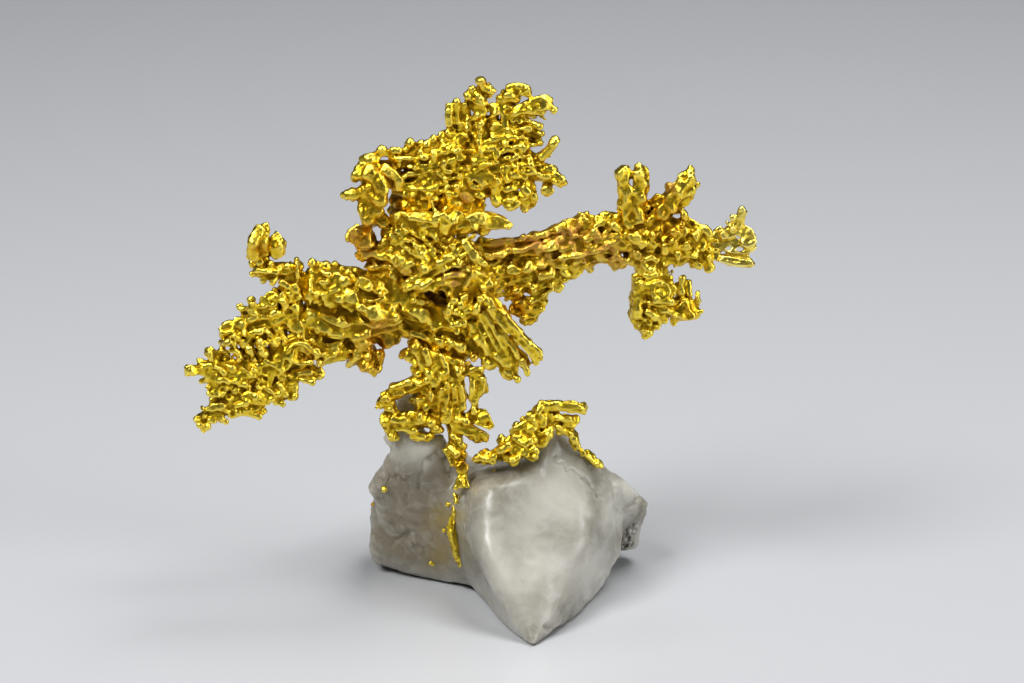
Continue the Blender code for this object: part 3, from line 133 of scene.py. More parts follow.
def evened(values, times=2, axis=0):
    """Each value but the first and last moved to the mean of itself, counted twice, and its two
    neighbours."""
    values = np.moveaxis(values, axis, 0)
    for _ in range(times):
        inner = (values[:-2] + 2 * values[1:-1] + values[2:]) / 4
        values = np.concatenate([values[:1], inner, values[-1:]])
    return np.ascontiguousarray(np.moveaxis(values, 0, axis))


def apart(places, circles):
    """How far each place on the ruler is from the middle of each (across, up, ...) circle."""
    return np.linalg.norm(places[:, None] - np.array(circles)[None, :, :2], axis=2)


def faded(places, patches):
    """For each place and each (across, up, radius, strength) patch, the strength times
    exp(-(distance / radius)^2). A patch without a strength has one."""
    patches = np.array(patches)
    strength = patches[:, 3] if patches.shape[1] > 3 else 1.0
    return strength * np.exp(-((apart(places, patches) / patches[:, 2]) ** 2))


def shown(name, data):
    """A new object in the scene, at the origin."""
    thing = bpy.data.objects.new(name, data)
    bpy.context.scene.collection.objects.link(thing)
    return thing


# %% [markdown]
# ## One mesh from many closed shells
# A crystal is a tube: rings of corners from its foot to its tip, and a point at each end. Thousands of
# them have the same faces, only counted on from another first corner, so one small array of faces serves
# for all.

# %% Shells
END_REACH = 0.6  # how far an end point stands off its last ring, in half widths


def shell_faces(rings, sides):
    """Faces of a closed tube: triangles round each end point and two triangles for each cell between
    rings."""
    side = np.arange(sides)
    beside = (side + 1) % sides
    ring = np.arange(rings - 1)[:, None] * sides
    near, far = ring + side, ring + beside
    cells = np.stack([near, far, far + sides, near, far + sides, near + sides], axis=-1)
    foot, tip = rings * sides, rings * sides + 1
    top = (rings - 1) * sides
    foot_fan = np.stack([np.full(sides, foot), beside, side], axis=-1)
    tip_fan = np.stack([np.full(sides, tip), top + side, top + beside], axis=-1)
    return np.concatenate([cells.reshape(-1, 3), foot_fan, tip_fan])


def shells(middles, halves, beside, inward, deep=1.0, facets=7, square=1.0):
    """Closed tubes, many at once. middles is (tubes, rings, 3) and halves (tubes, rings): the half width
    of each ring. A corner lies at middle + beside * half * cos(angle) + inward * half * deep *
    sin(angle), each of the two raised to the power square, which flattens the sides when it is less than
    one."""
    tubes, rings = halves.shape
    angle = np.arange(facets) / facets * 2 * math.pi
    wide, high = (np.sign(turn) * np.abs(turn) ** square for turn in (np.cos(angle), np.sin(angle)))
    across = wide[None, None, :, None] * beside[:, :, None, :]
    into = high[None, None, :, None] * inward[:, :, None, :] * np.reshape(deep, (-1, 1, 1, 1))
    corners = middles[:, :, None, :] + halves[:, :, None, None] * (across + into)
    ends = np.stack([middles[:, 0], middles[:, -1]], axis=1)
    ends[:, 0] -= unit(middles[:, 1] - middles[:, 0]) * halves[:, :1] * END_REACH
    ends[:, 1] += unit(middles[:, -1] - middles[:, -2]) * halves[:, -1:] * END_REACH
    points = np.concatenate([corners.reshape(tubes, rings * facets, 3), ends], axis=1)
    faces = shell_faces(rings, facets)[None] + (np.arange(tubes) * points.shape[1])[:, None, None]
    return points.reshape(-1, 3), faces.reshape(-1, 3)


def joined(parts):
    """One pair of corners and faces from several."""
    firsts = np.cumsum([0] + [len(points) for points, _ in parts])
    faces = [faces + first for (_, faces), first in zip(parts, firsts)]
    return np.concatenate([points for points, _ in parts]), np.concatenate(faces)


def to_mesh(name, points, faces, scale=1.0):
    """Puts corners and triangles into a Blender mesh in whole arrays."""
    mesh = bpy.data.meshes.new(name)
    mesh.vertices.add(len(points))
    mesh.vertices.foreach_set("co", (points * scale).astype(np.float32).ravel())
    mesh.loops.add(faces.size)
    mesh.loops.foreach_set("vertex_index", faces.astype(np.int32).ravel())
    mesh.polygons.add(len(faces))
    mesh.polygons.foreach_set("loop_start", np.arange(0, faces.size, faces.shape[1], dtype=np.int32))
    mesh.update(calc_edges=True)
    return mesh


def arrays_of(mesh):
    """Corners and triangles of a mesh as arrays."""
    mesh.calc_loop_triangles()
    points = np.empty(len(mesh.vertices) * 3, np.float32)
    mesh.vertices.foreach_get("co", points)
    faces = np.empty(len(mesh.loop_triangles) * 3, np.int32)
    mesh.loop_triangles.foreach_get("vertices", faces)
    return points.reshape(-1, 3).astype(float), faces.reshape(-1, 3)


# %% [markdown]
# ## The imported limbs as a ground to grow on
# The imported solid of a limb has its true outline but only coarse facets. A merged copy of it, in
# millimetres, is the ground that the fine crystals grow on.

# %% Ground
class Ground:
    """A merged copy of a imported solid, with what growing on it needs."""

    def __init__(self, node):
        shape = bmesh.new()
        shape.from_mesh(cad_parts[node].data)
        bmesh.ops.remove_doubles(shape, verts=shape.verts[:], dist=1e-7)
        bmesh.ops.triangulate(shape, faces=shape.faces[:])
        shape.normal_update()
        self.points = np.array([vert.co[:] for vert in shape.verts]) / MM
        self.leaning = np.array([vert.normal[:] for vert in shape.verts])
        self.faces = np.array([[vert.index for vert in face.verts] for face in shape.faces])
        shape.free()
        self.tree = BVHTree.FromPolygons(self.points.tolist(), self.faces.tolist())
        corners = self.points[self.faces]
        cross = np.cross(corners[:, 1] - corners[:, 0], corners[:, 2] - corners[:, 0])
        self.areas = np.linalg.norm(cross, axis=1) / 2
        self.facing = unit(cross)

    def scatter(self, count, dice):
        """Feet for count crystals, spread by area: a triangle is drawn in proportion to its area, by even
        steps along the running total, and a place in it comes from the square root rule for even
        spreading."""
        steps = (np.arange(count) + dice.uniform(0, 1, count)) / count * self.areas.sum()
        chosen = np.searchsorted(np.cumsum(self.areas), steps).clip(0, len(self.areas) - 1)
        root, share = np.sqrt(dice.uniform(0, 1, count))[:, None], dice.uniform(0, 1, count)[:, None]
        a, b, c = (self.points[self.faces[chosen, corner]] for corner in range(3))
        return a * (1 - root) + b * root * (1 - share) + c * root * share, self.facing[chosen]

    def near(self, points):
        """The nearest places on the surface, and which way it faces there."""
        found = [self.tree.find_nearest(Vector(point)) for point in points]
        return np.array([hit[0][:] for hit in found]), np.array([hit[1][:] for hit in found])

    def front(self, places):
        """Where the rays through these places on the ruler first meet the ground. A ray that misses takes
        the depth of the nearest one that hit, or of the nearest point of the ground."""
        starts, ways = sight(places)
        depths = np.full(len(starts), np.nan)
        for number, (start, way) in enumerate(zip(starts - ways * RAY_START, ways)):
            hit = self.tree.ray_cast(Vector(start), Vector(way), RAY_REACH)
            if hit[0] is not None:
                depths[number] = hit[3]
        if np.isnan(depths).all():
            near = self.tree.find_nearest(Vector(starts[len(starts) // 2]))[0]
            depths[:] = RAY_START + (np.array(near) - starts[len(starts) // 2]) @ ways[len(starts) // 2]
        known = np.flatnonzero(~np.isnan(depths))
        nearest = known[np.abs(np.arange(len(depths))[:, None] - known[None]).argmin(axis=1)]
        depths = depths[nearest]
        return starts + ways * (depths - RAY_START)[:, None], ways


# %% [markdown]
# ## Growing ribs over the surface
# Gold of this kind grows by skeletal branching: from each main rib, side ribs lean forward at the same
# angle, and their rounded ends make the knobbed, herringbone surface. Each limb has a few veins, its main
# ribs. A side rib starts somewhere on the surface, takes its direction from the nearest vein and then
# creeps over the surface in short steps, so it bends where the limb bends and ends in a knob where the
# limb has its edge.

# %% Growth
RIB_RINGS = 9
TRIES = 5  # feet that are drawn for each cell of the spacing. The first one in a cell stays
CELL_SHARE = 0.9
TURNED_AWAY = -0.15  # the cosine past which a rib has gone round the limb
SHARES = np.linspace(0, 1, RIB_RINGS)


def vein_field(points, veins):
    """For each point, the direction of the nearest vein's run and the direction away from it. The nearest
    place on a run is its foot plus the run times the clamped share of the point's projection on it."""
    best = np.full(len(points), np.inf)
    along, away = np.zeros_like(points), np.zeros_like(points)
    for vein in veins:
        stops = np.array([seen(*stop) for stop in vein])
        for foot, tip in zip(stops[:-1], stops[1:]):
            run = tip - foot
            share = ((points - foot) @ run / (run @ run)).clip(0, 1)
            gap = points - foot - share[:, None] * run
            far = np.linalg.norm(gap, axis=1)
            closer = far < best
            best[closer] = far[closer]
            along[closer] = run / np.linalg.norm(run)
            away[closer] = gap[closer]
    return along, away


def flat_on(ways, facing):
    """Directions laid flat on the surface: each less its share along the facing, with length one."""
    return unit(ways - facing * (ways * facing).sum(axis=-1)[..., None])


def creep(ground, feet, facing, ways, lengths):
    """Paths over the ground. Each takes equal steps along its direction, laid flat on the surface after
    every step, and stops where the surface has turned away from where it began. The places passed are
    then spread evenly over the rings and smoothed."""
    place, up, live = feet, facing, np.ones(len(feet), bool)
    trail, tilts, good = [place], [up], np.zeros(len(feet))
    for _ in range(RIB_RINGS - 1):
        ways = flat_on(ways, up)
        near, turned = ground.near(place + ways * lengths[:, None] / (RIB_RINGS - 1))
        live &= (turned * facing).sum(axis=1) > TURNED_AWAY
        place, up = np.where(live[:, None], near, place), np.where(live[:, None], turned, up)
        good += live
        trail.append(place)
        tilts.append(up)
    at = SHARES * np.maximum(good, 1)[:, None]
    low = np.floor(at).astype(int).clip(0, RIB_RINGS - 2)
    part, row = (at - low)[..., None], np.arange(len(feet))[:, None]
    trail, tilts = np.stack(trail, axis=1), np.stack(tilts, axis=1)
    middles = trail[row, low] * (1 - part) + trail[row, low + 1] * part
    ups = tilts[row, low] * (1 - part) + tilts[row, low + 1] * part
    return evened(middles, axis=1), unit(evened(ups, axis=1))


def covered(points, covers):
    """Which of these points, seen from the front, lie in one of the (across, up, radius) circles on the
    ruler."""
    return (apart(on_ruler(points), covers) < np.array(covers)[None, :, 2]).any(axis=1)


def ribs(ground, veins, covers, seed, spacing, length, half, angle, spread, knob, rise=0.05):
    """Side ribs on the whole limb, about one for each spacing by spacing of surface. A rib runs at this
    angle to the nearest vein, leaning away from it. Its half width swells to a knob at nine tenths of the
    run. On the front, a rib whose middle or end lies under a form that is listed one by one is left out."""
    dice = np.random.default_rng(seed)
    feet, facing = ground.scatter(int(ground.areas.sum() / spacing**2 * TRIES), dice)
    cells = np.floor(feet / (spacing * CELL_SHARE)).astype(int)
    picked = np.sort(np.unique(cells, axis=0, return_index=True)[1])
    feet, facing = feet[picked], facing[picked]
    count = len(feet)
    along, away = vein_field(feet, veins)
    sideways = flat_on(away, facing)
    beat = np.radians(angle) * np.exp(dice.normal(0, 0.25, count))[:, None]
    ways = flat_on(along, facing) * np.cos(beat) + sideways * np.sin(beat)
    ways += spread * dice.normal(size=(count, 3))
    lengths = length * np.exp(dice.normal(0, 0.35, count))
    middles, ups = creep(ground, feet, facing, ways, lengths)
    hidden = np.zeros(count, bool)
    for ring in (2, 5, 8):
        hidden |= covered(middles[:, ring], covers) & ((ups[:, ring] * INTO_VIEW).sum(axis=1) < 0.3)
    middles, ups, count = middles[~hidden], ups[~hidden], int((~hidden).sum())
    halves = half * np.exp(dice.normal(0, 0.22, count))
    knobs = (knob * dice.uniform(0.2, 1.6, count))[:, None] * np.exp(-((SHARES - 0.9) / 0.13) ** 2)
    swell = 0.80 + 0.2 * SHARES + knobs
    halves = halves[:, None] * swell * (1 + 0.10 * waves(middles, 1.3, seed + 1))
    lift = rise + 0.06 * waves(middles, 2.6, seed + 2) + dice.normal(0, 0.03, count)[:, None]
    middles = middles + ups * (lift * (0.2 + SHARES))[..., None] - ups * 0.25 * halves[..., None]
    run = unit(np.gradient(middles, axis=1) + 1e-9)
    return shells(middles, halves, unit(np.cross(run, ups)), ups)


# %% [markdown]
# ## Ridges, fingers and balls that can be told apart
# What the eye picks out one by one, such as a bright ridge, a finger or a ball, is placed one by one. A
# ridge is a list of places on the picture ruler; its path is laid on the ground by rays and smoothed, and
# a tube is carried along it.

# %% Strokes
STROKE_RINGS = 16
STROKE_SHARES = np.linspace(0, 1, STROKE_RINGS)


def stroke(ground, stops, half, deep=0.9, leaf=False, seed=5):
    """A tube through these places on the ruler, laid on the front of the ground. A ridge keeps its half
    width, with a slight wobble and a rounded knob at its end; a leaf is flat and its half width is the
    root of a half sine."""
    stops = np.array(stops, float)
    steps = np.linalg.norm(np.diff(stops, axis=0), axis=1)
    marks = np.concatenate([[0], np.cumsum(steps)]) / steps.sum()
    places = np.stack([np.interp(STROKE_SHARES, marks, stops[:, n]) for n in range(2)], axis=1)
    middles, ways = ground.front(evened(places))
    depth = ((middles - AIM) * INTO_VIEW).sum(axis=1)
    rise = 0.05 + half * (0.06 if leaf else 0.3)
    deep = min(deep, 0.06 + 0.20 / half) if leaf else deep
    middles += ways * (evened(depth, 6) - depth - rise)[:, None]
    halves = half * (1 + 0.08 * waves(middles, 1.4, seed))
    if leaf:
        halves *= np.sin(math.pi * (0.06 + 0.88 * STROKE_SHARES)) ** 0.6
    else:
        halves *= 1 + 0.18 * np.exp(-((STROKE_SHARES - 0.9) / 0.1) ** 2)
    run = unit(np.gradient(middles, axis=0))
    across = unit(np.cross(run, INTO_VIEW))
    inward = np.cross(across, run)
    return shells(middles[None], halves[None], across[None], inward[None], deep, 12, 0.6 if leaf else 0.85)


BALL_TURNS = np.linspace(0.28, math.pi - 0.28, 7)


def lumps(middles, radius, deep=1.0, lumpy=0.0, seed=9):
    """Round lumps: rings whose half width is the sine, and whose height the cosine, of the turn from foot
    to tip. The half width is made uneven by lumpy."""
    rings = middles[:, None] + UP_VIEW * (-np.cos(BALL_TURNS)[None, :, None] * radius[:, None, None])
    halves = np.sin(BALL_TURNS)[None] * radius[:, None] * (1 + lumpy * waves(rings, 0.8, seed))
    beside = np.broadcast_to(np.array((1.0, 0, 0)), rings.shape)
    return shells(rings, halves, beside, np.broadcast_to(INTO_VIEW, rings.shape), deep, 10)


def balls(ground, places, rise=0.15, snap=False):
    """Knobs at (across, up, radius) on the front of the ground. With snap, each is first moved to the
    nearest place on it."""
    places = np.array(places, float)
    middles = np.concatenate([ground.front(place[:2])[0] for place in places])
    middles = ground.near(middles)[0] if snap else middles
    return lumps(middles - INTO_VIEW * rise, places[:, 2], lumpy=0.08)


# %% [markdown]
# ## One skin round everything
# On the real thing the crystals are grown together, with soft, almost melted corners between them. A voxel
# remesh gives just that: it wraps base and crystals in one closed skin. A light smoothing takes the voxel
# steps off, chips that float free are dropped, and the skin is thinned to the number of triangles allowed.

# %% Skin
VOXEL = 0.12
MOST_TRIANGLES = 165000


def baked(thing):
    """The object's mesh with its modifiers worked in."""
    bpy.context.view_layer.update()
    mesh = bpy.data.meshes.new_from_object(thing.evaluated_get(bpy.context.evaluated_depsgraph_get()))
    thing.modifiers.clear()
    return mesh


def biggest_skin(points, faces):
    """Only the skin with the most faces. Each corner starts with its own number, and the lowest number of
    a face spreads to all its corners until nothing changes: then every skin has one number."""
    label = np.arange(len(points))
    while True:
        spread = label.copy()
        np.minimum.at(spread, faces.ravel(), np.repeat(label[faces].min(axis=1), faces.shape[1]))
        spread = spread[spread]
        if (spread == label).all():
            break
        label = spread
    names, sizes = np.unique(label[faces[:, 0]], return_counts=True)
    kept = faces[label[faces[:, 0]] == names[sizes.argmax()]]
    used = np.unique(kept)
    number = np.zeros(len(points), int)
    number[used] = np.arange(len(used))
    return points[used], number[kept], len(names) - 1


def leaning_of(mesh):
    """The direction that each corner of the mesh faces."""
    leaning = np.empty(len(mesh.vertices) * 3, np.float32)
    mesh.vertex_normals.foreach_get("vector", leaning)
    return leaning.reshape(-1, 3)


def averaged(points, faces, share, times):
    """Each corner moved by its share towards the mean of its neighbours, many times over."""
    ends = np.concatenate([faces[:, [0, 1]], faces[:, [1, 2]], faces[:, [2, 0]]])
    ends = np.concatenate([ends, ends[:, ::-1]])
    starts, stops = ends[:, 0], ends[:, 1]
    count = np.bincount(starts, minlength=len(points))[:, None]
    share = np.asarray(share)[..., None]
    for _ in range(times):
        around = np.stack([np.bincount(starts, points[stops, n], len(points)) for n in range(3)], axis=1)
        points = points + (around / count - points) * share
    return points


def mark(thing, name, amount):
    """One number for each corner of the piece, under a name that a material can read."""
    thing.data.attributes.new(name, "FLOAT", "POINT").data.foreach_set("value", amount.astype(np.float32))


def skin(name, parts, voxel, relief=(), rounds=4, whole=True):
    """Wraps the closed shells in one skin, in millimetres, and returns an object in metres. Unless whole
    is False, only the biggest skin is kept. The relief, (size, length, seed) waves along the way each
    corner faces, is worked in after the skin has been thinned. The skin is marked with how deep each
    corner is sunk: a half plus twice the millimetres that it lies below the averaged skin round it."""
    points, faces = joined(parts)
    points = points.clip(LOW + 0.02, HIGH - 0.02)
    thing = shown(name, to_mesh(name, points, faces))
    wrap = thing.modifiers.new("wrap", "REMESH")
    wrap.mode = "VOXEL"
    wrap.voxel_size = voxel
    soften = thing.modifiers.new("soften", "SMOOTH")
    soften.factor = 0.5
    soften.iterations = rounds
    points, faces = arrays_of(baked(thing))
    dropped = 0
    if whole:
        points, faces, dropped = biggest_skin(points, faces)
    thing.data = to_mesh(name, points, faces)
    if len(faces) > MOST_TRIANGLES:
        thin = thing.modifiers.new("thin", "DECIMATE")
        thin.ratio = MOST_TRIANGLES / len(faces)
        thing.data = baked(thing)
        points, faces = arrays_of(thing.data)
    lift = sum((size * waves(points, length, seed) for size, length, seed in relief), np.zeros(len(points)))
    points += leaning_of(thing.data) * lift[:, None]
    points = points.clip(LOW, HIGH)
    thing.data = to_mesh(name, points, faces, MM)
    thing.data.shade_smooth()
    below = ((averaged(points, faces, 0.5, 40) - points) * leaning_of(thing.data)).sum(axis=1)
    mark(thing, "sunk", (0.5 + 2 * below).clip(0, 1))
    deepest = np.percentile(below, 95).round(3)
    print(name, len(faces), "triangles,", dropped, "loose chips dropped, hollows", deepest, "mm deep")
    return thing


def paint(thing, name, patches):
    """A number at each corner from (across, up, radius, strength) patches on the ruler: what they give
    there, added up and kept between 0 and 1."""
    places = on_ruler(arrays_of(thing.data)[0] / MM)
    mark(thing, name, faded(places, patches).sum(axis=1).clip(0, 1))


# %% [markdown]
# ## Putting a piece in the place of its solid
# A finished piece takes over from the imported solid that it grew on: it gets its finish, rides on the one
# body of this specimen, and the solid under it is hidden. Doing that in one function keeps every piece
# alike.

# %% Dress one limb
def dress(node, thing, finish):
    """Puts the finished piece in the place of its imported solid."""
    thing.data.materials.clear()
    thing.data.materials.append(finish)
    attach(thing, "root")
    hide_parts(node)


# %% [markdown]
# ## The gold's finish
# Native gold is a plain metal: its colour is in its reflection. What makes it look grown is relief finer
# than the mesh, painted shade in the hollows, which are also rougher, a painted highlight on the edges,
# and a rose-brown stain that iron leaves on the older limbs. Painted shade and highlight come from the
# number that each skin was marked with: how deep it is sunk below its own average. A surface group works
# all that out, so that every gold here can share it with its own colours.

# %% Node helpers
def surface_group(name, numbers, colours):
    """An empty node group for a surface, with its inputs and outputs. It takes a place, these numbers and
    these colours, and puts out Colour, Roughness and Height."""
    group = bpy.data.node_groups.new(name, "ShaderNodeTree")
    sockets = [("Place", "INPUT", "Vector")] + [(number, "INPUT", "Float") for number in numbers]
    sockets += [(colour, "INPUT", "Color") for colour in colours]
    sockets += [("Colour", "OUTPUT", "Color")]
    sockets += [(result, "OUTPUT", "Float") for result in ("Roughness", "Height")]
    for label, way, kind in sockets:
        group.interface.new_socket(label, in_out=way, socket_type="NodeSocket" + kind)
    return group, group.nodes.new("NodeGroupInput").outputs, group.nodes.new("NodeGroupOutput").inputs


def noise(tree, vector, scale, detail=3.0, roughness=0.55, distortion=0.0):
    """A noise texture's value at a place."""
    node = tree.nodes.new("ShaderNodeTexNoise")
    node.inputs["Scale"].default_value = scale
    node.inputs["Detail"].default_value = detail
    node.inputs["Roughness"].default_value = roughness
    node.inputs["Distortion"].default_value = distortion
    tree.links.new(vector, node.inputs["Vector"])
    return node.outputs["Fac"]


def ramp(tree, value, stops):
    """A ramp through (place, grey or colour) stops."""
    node = tree.nodes.new("ShaderNodeValToRGB")
    elements = node.color_ramp.elements
    while len(elements) < len(stops):
        elements.new(0.5)
    for element, (place, shade) in zip(elements, stops):
        element.position = place
        element.color = (*shade, 1.0) if isinstance(shade, tuple) else (shade, shade, shade, 1.0)
    tree.links.new(value, node.inputs["Fac"])
    return node.outputs["Color"]


def sums(tree, operation, first, second):
    """A Math node on two values, each a socket or a number."""
    node = tree.nodes.new("ShaderNodeMath")
    node.operation = operation
    for place, value in enumerate((first, second)):
        if isinstance(value, (int, float)):
            node.inputs[place].default_value = value
        else:
            tree.links.new(value, node.inputs[place])
    return node.outputs[0]


def blend_of(tree, share, first, second, how="MIX"):
    """A colour mix of two colours, each a socket or a plain colour."""
    node = tree.nodes.new("ShaderNodeMix")
    node.data_type = "RGBA"
    node.blend_type = how
    sockets = [item for item in node.inputs if item.type == "RGBA"]
    for place, value in zip(sockets, (first, second)):
        if isinstance(value, tuple):
            place.default_value = (*value, 1.0)
        else:
            tree.links.new(value, place)
    if isinstance(share, (int, float)):
        node.inputs[0].default_value = share
    else:
        tree.links.new(share, node.inputs[0])
    return [item for item in node.outputs if item.type == "RGBA"][0]


# %% [markdown]
# ## What gold looks like up close
# The group below mixes the colours in this order: clean gold, a painted highlight on the raised edges,
# iron stain in broken patches, then painted shade in the hollows. Stain and hollows are also rougher. The
# relief is a fine noise and small cells, bent by more noise so that they don't look like a net.

# %% Grown surface group
def growth_group():
    """Colour, roughness and relief of grown gold. Painted shade in the hollows and a painted highlight on the
    edges come from how deep the skin is sunk; the rose and amber stains come in broken patches where the
    piece has been painted with them."""
    colours = ("Gold Colour", "Hollow Shade Colour", "Edge Highlight Colour", "Rose Colour", "Amber Colour")
    group, into, out = surface_group("grown surface", ("Sunk", "Rose", "Amber"), colours)
    place = into["Place"]
    # Hollow: painted shade, a darker olive put into the hollows between the forms.
    hollow_shade = ramp(group, into["Sunk"], [(0.50, 0.0), (0.70, 1.0)])
    # Edge: painted highlight, a paler gold on the raised edges.
    edge_highlight = ramp(group, into["Sunk"], [(0.22, 1.0), (0.44, 0.0)])
    broad = noise(group, place, 160.0, 3.0)
    fine = noise(group, place, 900.0, 4.0, 0.6)
    tone = ramp(group, broad, [(0.35, 0.78), (0.65, 1.0)])
    colour = blend_of(group, 1.0, into["Gold Colour"], tone, "MULTIPLY")
    # painted highlight: the raised edges take the paler edge colour
    colour = blend_of(group, sums(group, "MULTIPLY", edge_highlight, 0.7), colour, into["Edge Highlight Colour"])
    patch = ramp(group, noise(group, place, 420.0, 4.0, 0.65), [(0.38, 0.35), (0.58, 1.0)])
    colour = blend_of(group, sums(group, "MULTIPLY", patch, into["Amber"]), colour, into["Amber Colour"])
    worn = ramp(group, noise(group, place, 620.0, 4.0, 0.7), [(0.42, 0.1), (0.56, 1.0)])
    rose = sums(group, "MULTIPLY", worn, into["Rose"])
    colour = blend_of(group, rose, colour, into["Rose Colour"])
    # painted shade: the hollows take the darker hollow colour
    colour = blend_of(group, sums(group, "MULTIPLY", hollow_shade, 0.9), colour, into["Hollow Shade Colour"])
    group.links.new(colour, out["Colour"])
    rough = ramp(group, fine, [(0.3, 0.27), (0.75, 0.44)])
    rough = sums(group, "ADD", rough, sums(group, "MULTIPLY", hollow_shade, 0.2))
    rough = sums(group, "ADD", rough, sums(group, "MULTIPLY", rose, 0.22))
    group.links.new(rough, out["Roughness"])
    facets = group.nodes.new("ShaderNodeTexVoronoi")
    facets.inputs["Scale"].default_value = 1500.0
    facets.inputs["Randomness"].default_value = 1.0
    bent = group.nodes.new("ShaderNodeVectorMath")
    bent.operation = "MULTIPLY_ADD"
    wobble = group.nodes.new("ShaderNodeTexNoise")
    wobble.inputs["Scale"].default_value = 1400.0
    group.links.new(place, wobble.inputs["Vector"])
    group.links.new(wobble.outputs["Color"], bent.inputs[0])
    bent.inputs[1].default_value = (0.0004, 0.0004, 0.0004)
    group.links.new(place, bent.inputs[2])
    group.links.new(bent.outputs[0], facets.inputs["Vector"])
    steps = sums(group, "ADD", noise(group, place, 1300.0, 3.0, 0.5), facets.outputs["Distance"])
    group.links.new(steps, out["Height"])
    return group


GROWN = growth_group()


def painted(tree, name):
    """The number that the piece has been painted with under this name."""
    node = tree.nodes.new("ShaderNodeAttribute")
    node.attribute_name = name
    return node.outputs["Fac"]


# %% [markdown]
# ## Two golds from one group
# Most limbs are rich yellow with painted olive shade in the hollows. The thin plate at the far right is
# paler and smoother. The metal itself is set on each shader, and only what changes over the surface comes
# from the group.

# %% Gold material
BUMP_DISTANCE = 0.0002


def surfaced(name, group, marks, colours, relief):
    """A material whose colour, roughness and relief come from a surface group. The group reads the
    piece's own coordinates and the numbers that the piece is marked with; colours and strength of relief
    are the material's."""
    made = bpy.data.materials.new(name)
    made.use_nodes = True
    tree = made.node_tree
    shader = tree.nodes["Principled BSDF"]
    surface = tree.nodes.new("ShaderNodeGroup")
    surface.node_tree = group
    tree.links.new(tree.nodes.new("ShaderNodeTexCoord").outputs["Object"], surface.inputs["Place"])
    for label in marks:
        tree.links.new(painted(tree, label.lower()), surface.inputs[label])
    for label, colour in colours.items():
        surface.inputs[label].default_value = (*colour, 1.0)
    tree.links.new(surface.outputs["Colour"], shader.inputs["Base Color"])
    tree.links.new(surface.outputs["Roughness"], shader.inputs["Roughness"])
    bump = tree.nodes.new("ShaderNodeBump")
    bump.inputs["Strength"].default_value = relief
    bump.inputs["Distance"].default_value = BUMP_DISTANCE
    tree.links.new(surface.outputs["Height"], bump.inputs["Height"])
    tree.links.new(bump.outputs["Normal"], shader.inputs["Normal"])
    return made, shader


def gold(name, colour, hollow_shade, edge_highlight, relief):
    """Native gold: a metal, its stains the same on every limb."""
    colours = {"Gold Colour": colour, "Hollow Shade Colour": hollow_shade, "Edge Highlight Colour": edge_highlight, "Rose Colour": ROSE,
               "Amber Colour": AMBER}
    made, shader = surfaced(name, GROWN, ("Sunk", "Rose", "Amber"), colours, relief)
    shader.inputs["Metallic"].default_value = 1.0
    return made


# LEMON_HIGHLIGHT is the colour of the painted highlight on the raised edges
LEMON_HIGHLIGHT = (1.0, 0.80, 0.12)
RICH = (0.88, 0.61, 0.030)
# OLIVE_SHADE is the colour of the painted shade in the hollows
OLIVE_SHADE = (0.25, 0.14, 0.005)
ROSE = (0.54, 0.28, 0.065)
AMBER = (0.58, 0.26, 0.008)
bright_gold = gold("bright gold", RICH, OLIVE_SHADE, LEMON_HIGHLIGHT, 0.32)
# the third colour is the painted shade in the hollows, the fourth the painted highlight on the edges
smooth_gold = gold("smooth pale gold", (0.96, 0.74, 0.10), (0.5, 0.32, 0.02), (1.0, 0.86, 0.26), 0.12)
print("two golds from a group of", len(GROWN.nodes), "nodes")

# %% [markdown]
# ## The veins of each limb
# A vein is a main rib of a limb, written as places across and up on the picture ruler, with a depth. They
# were read off the photograph's branches, because the side ribs have to lean away from the right ones.

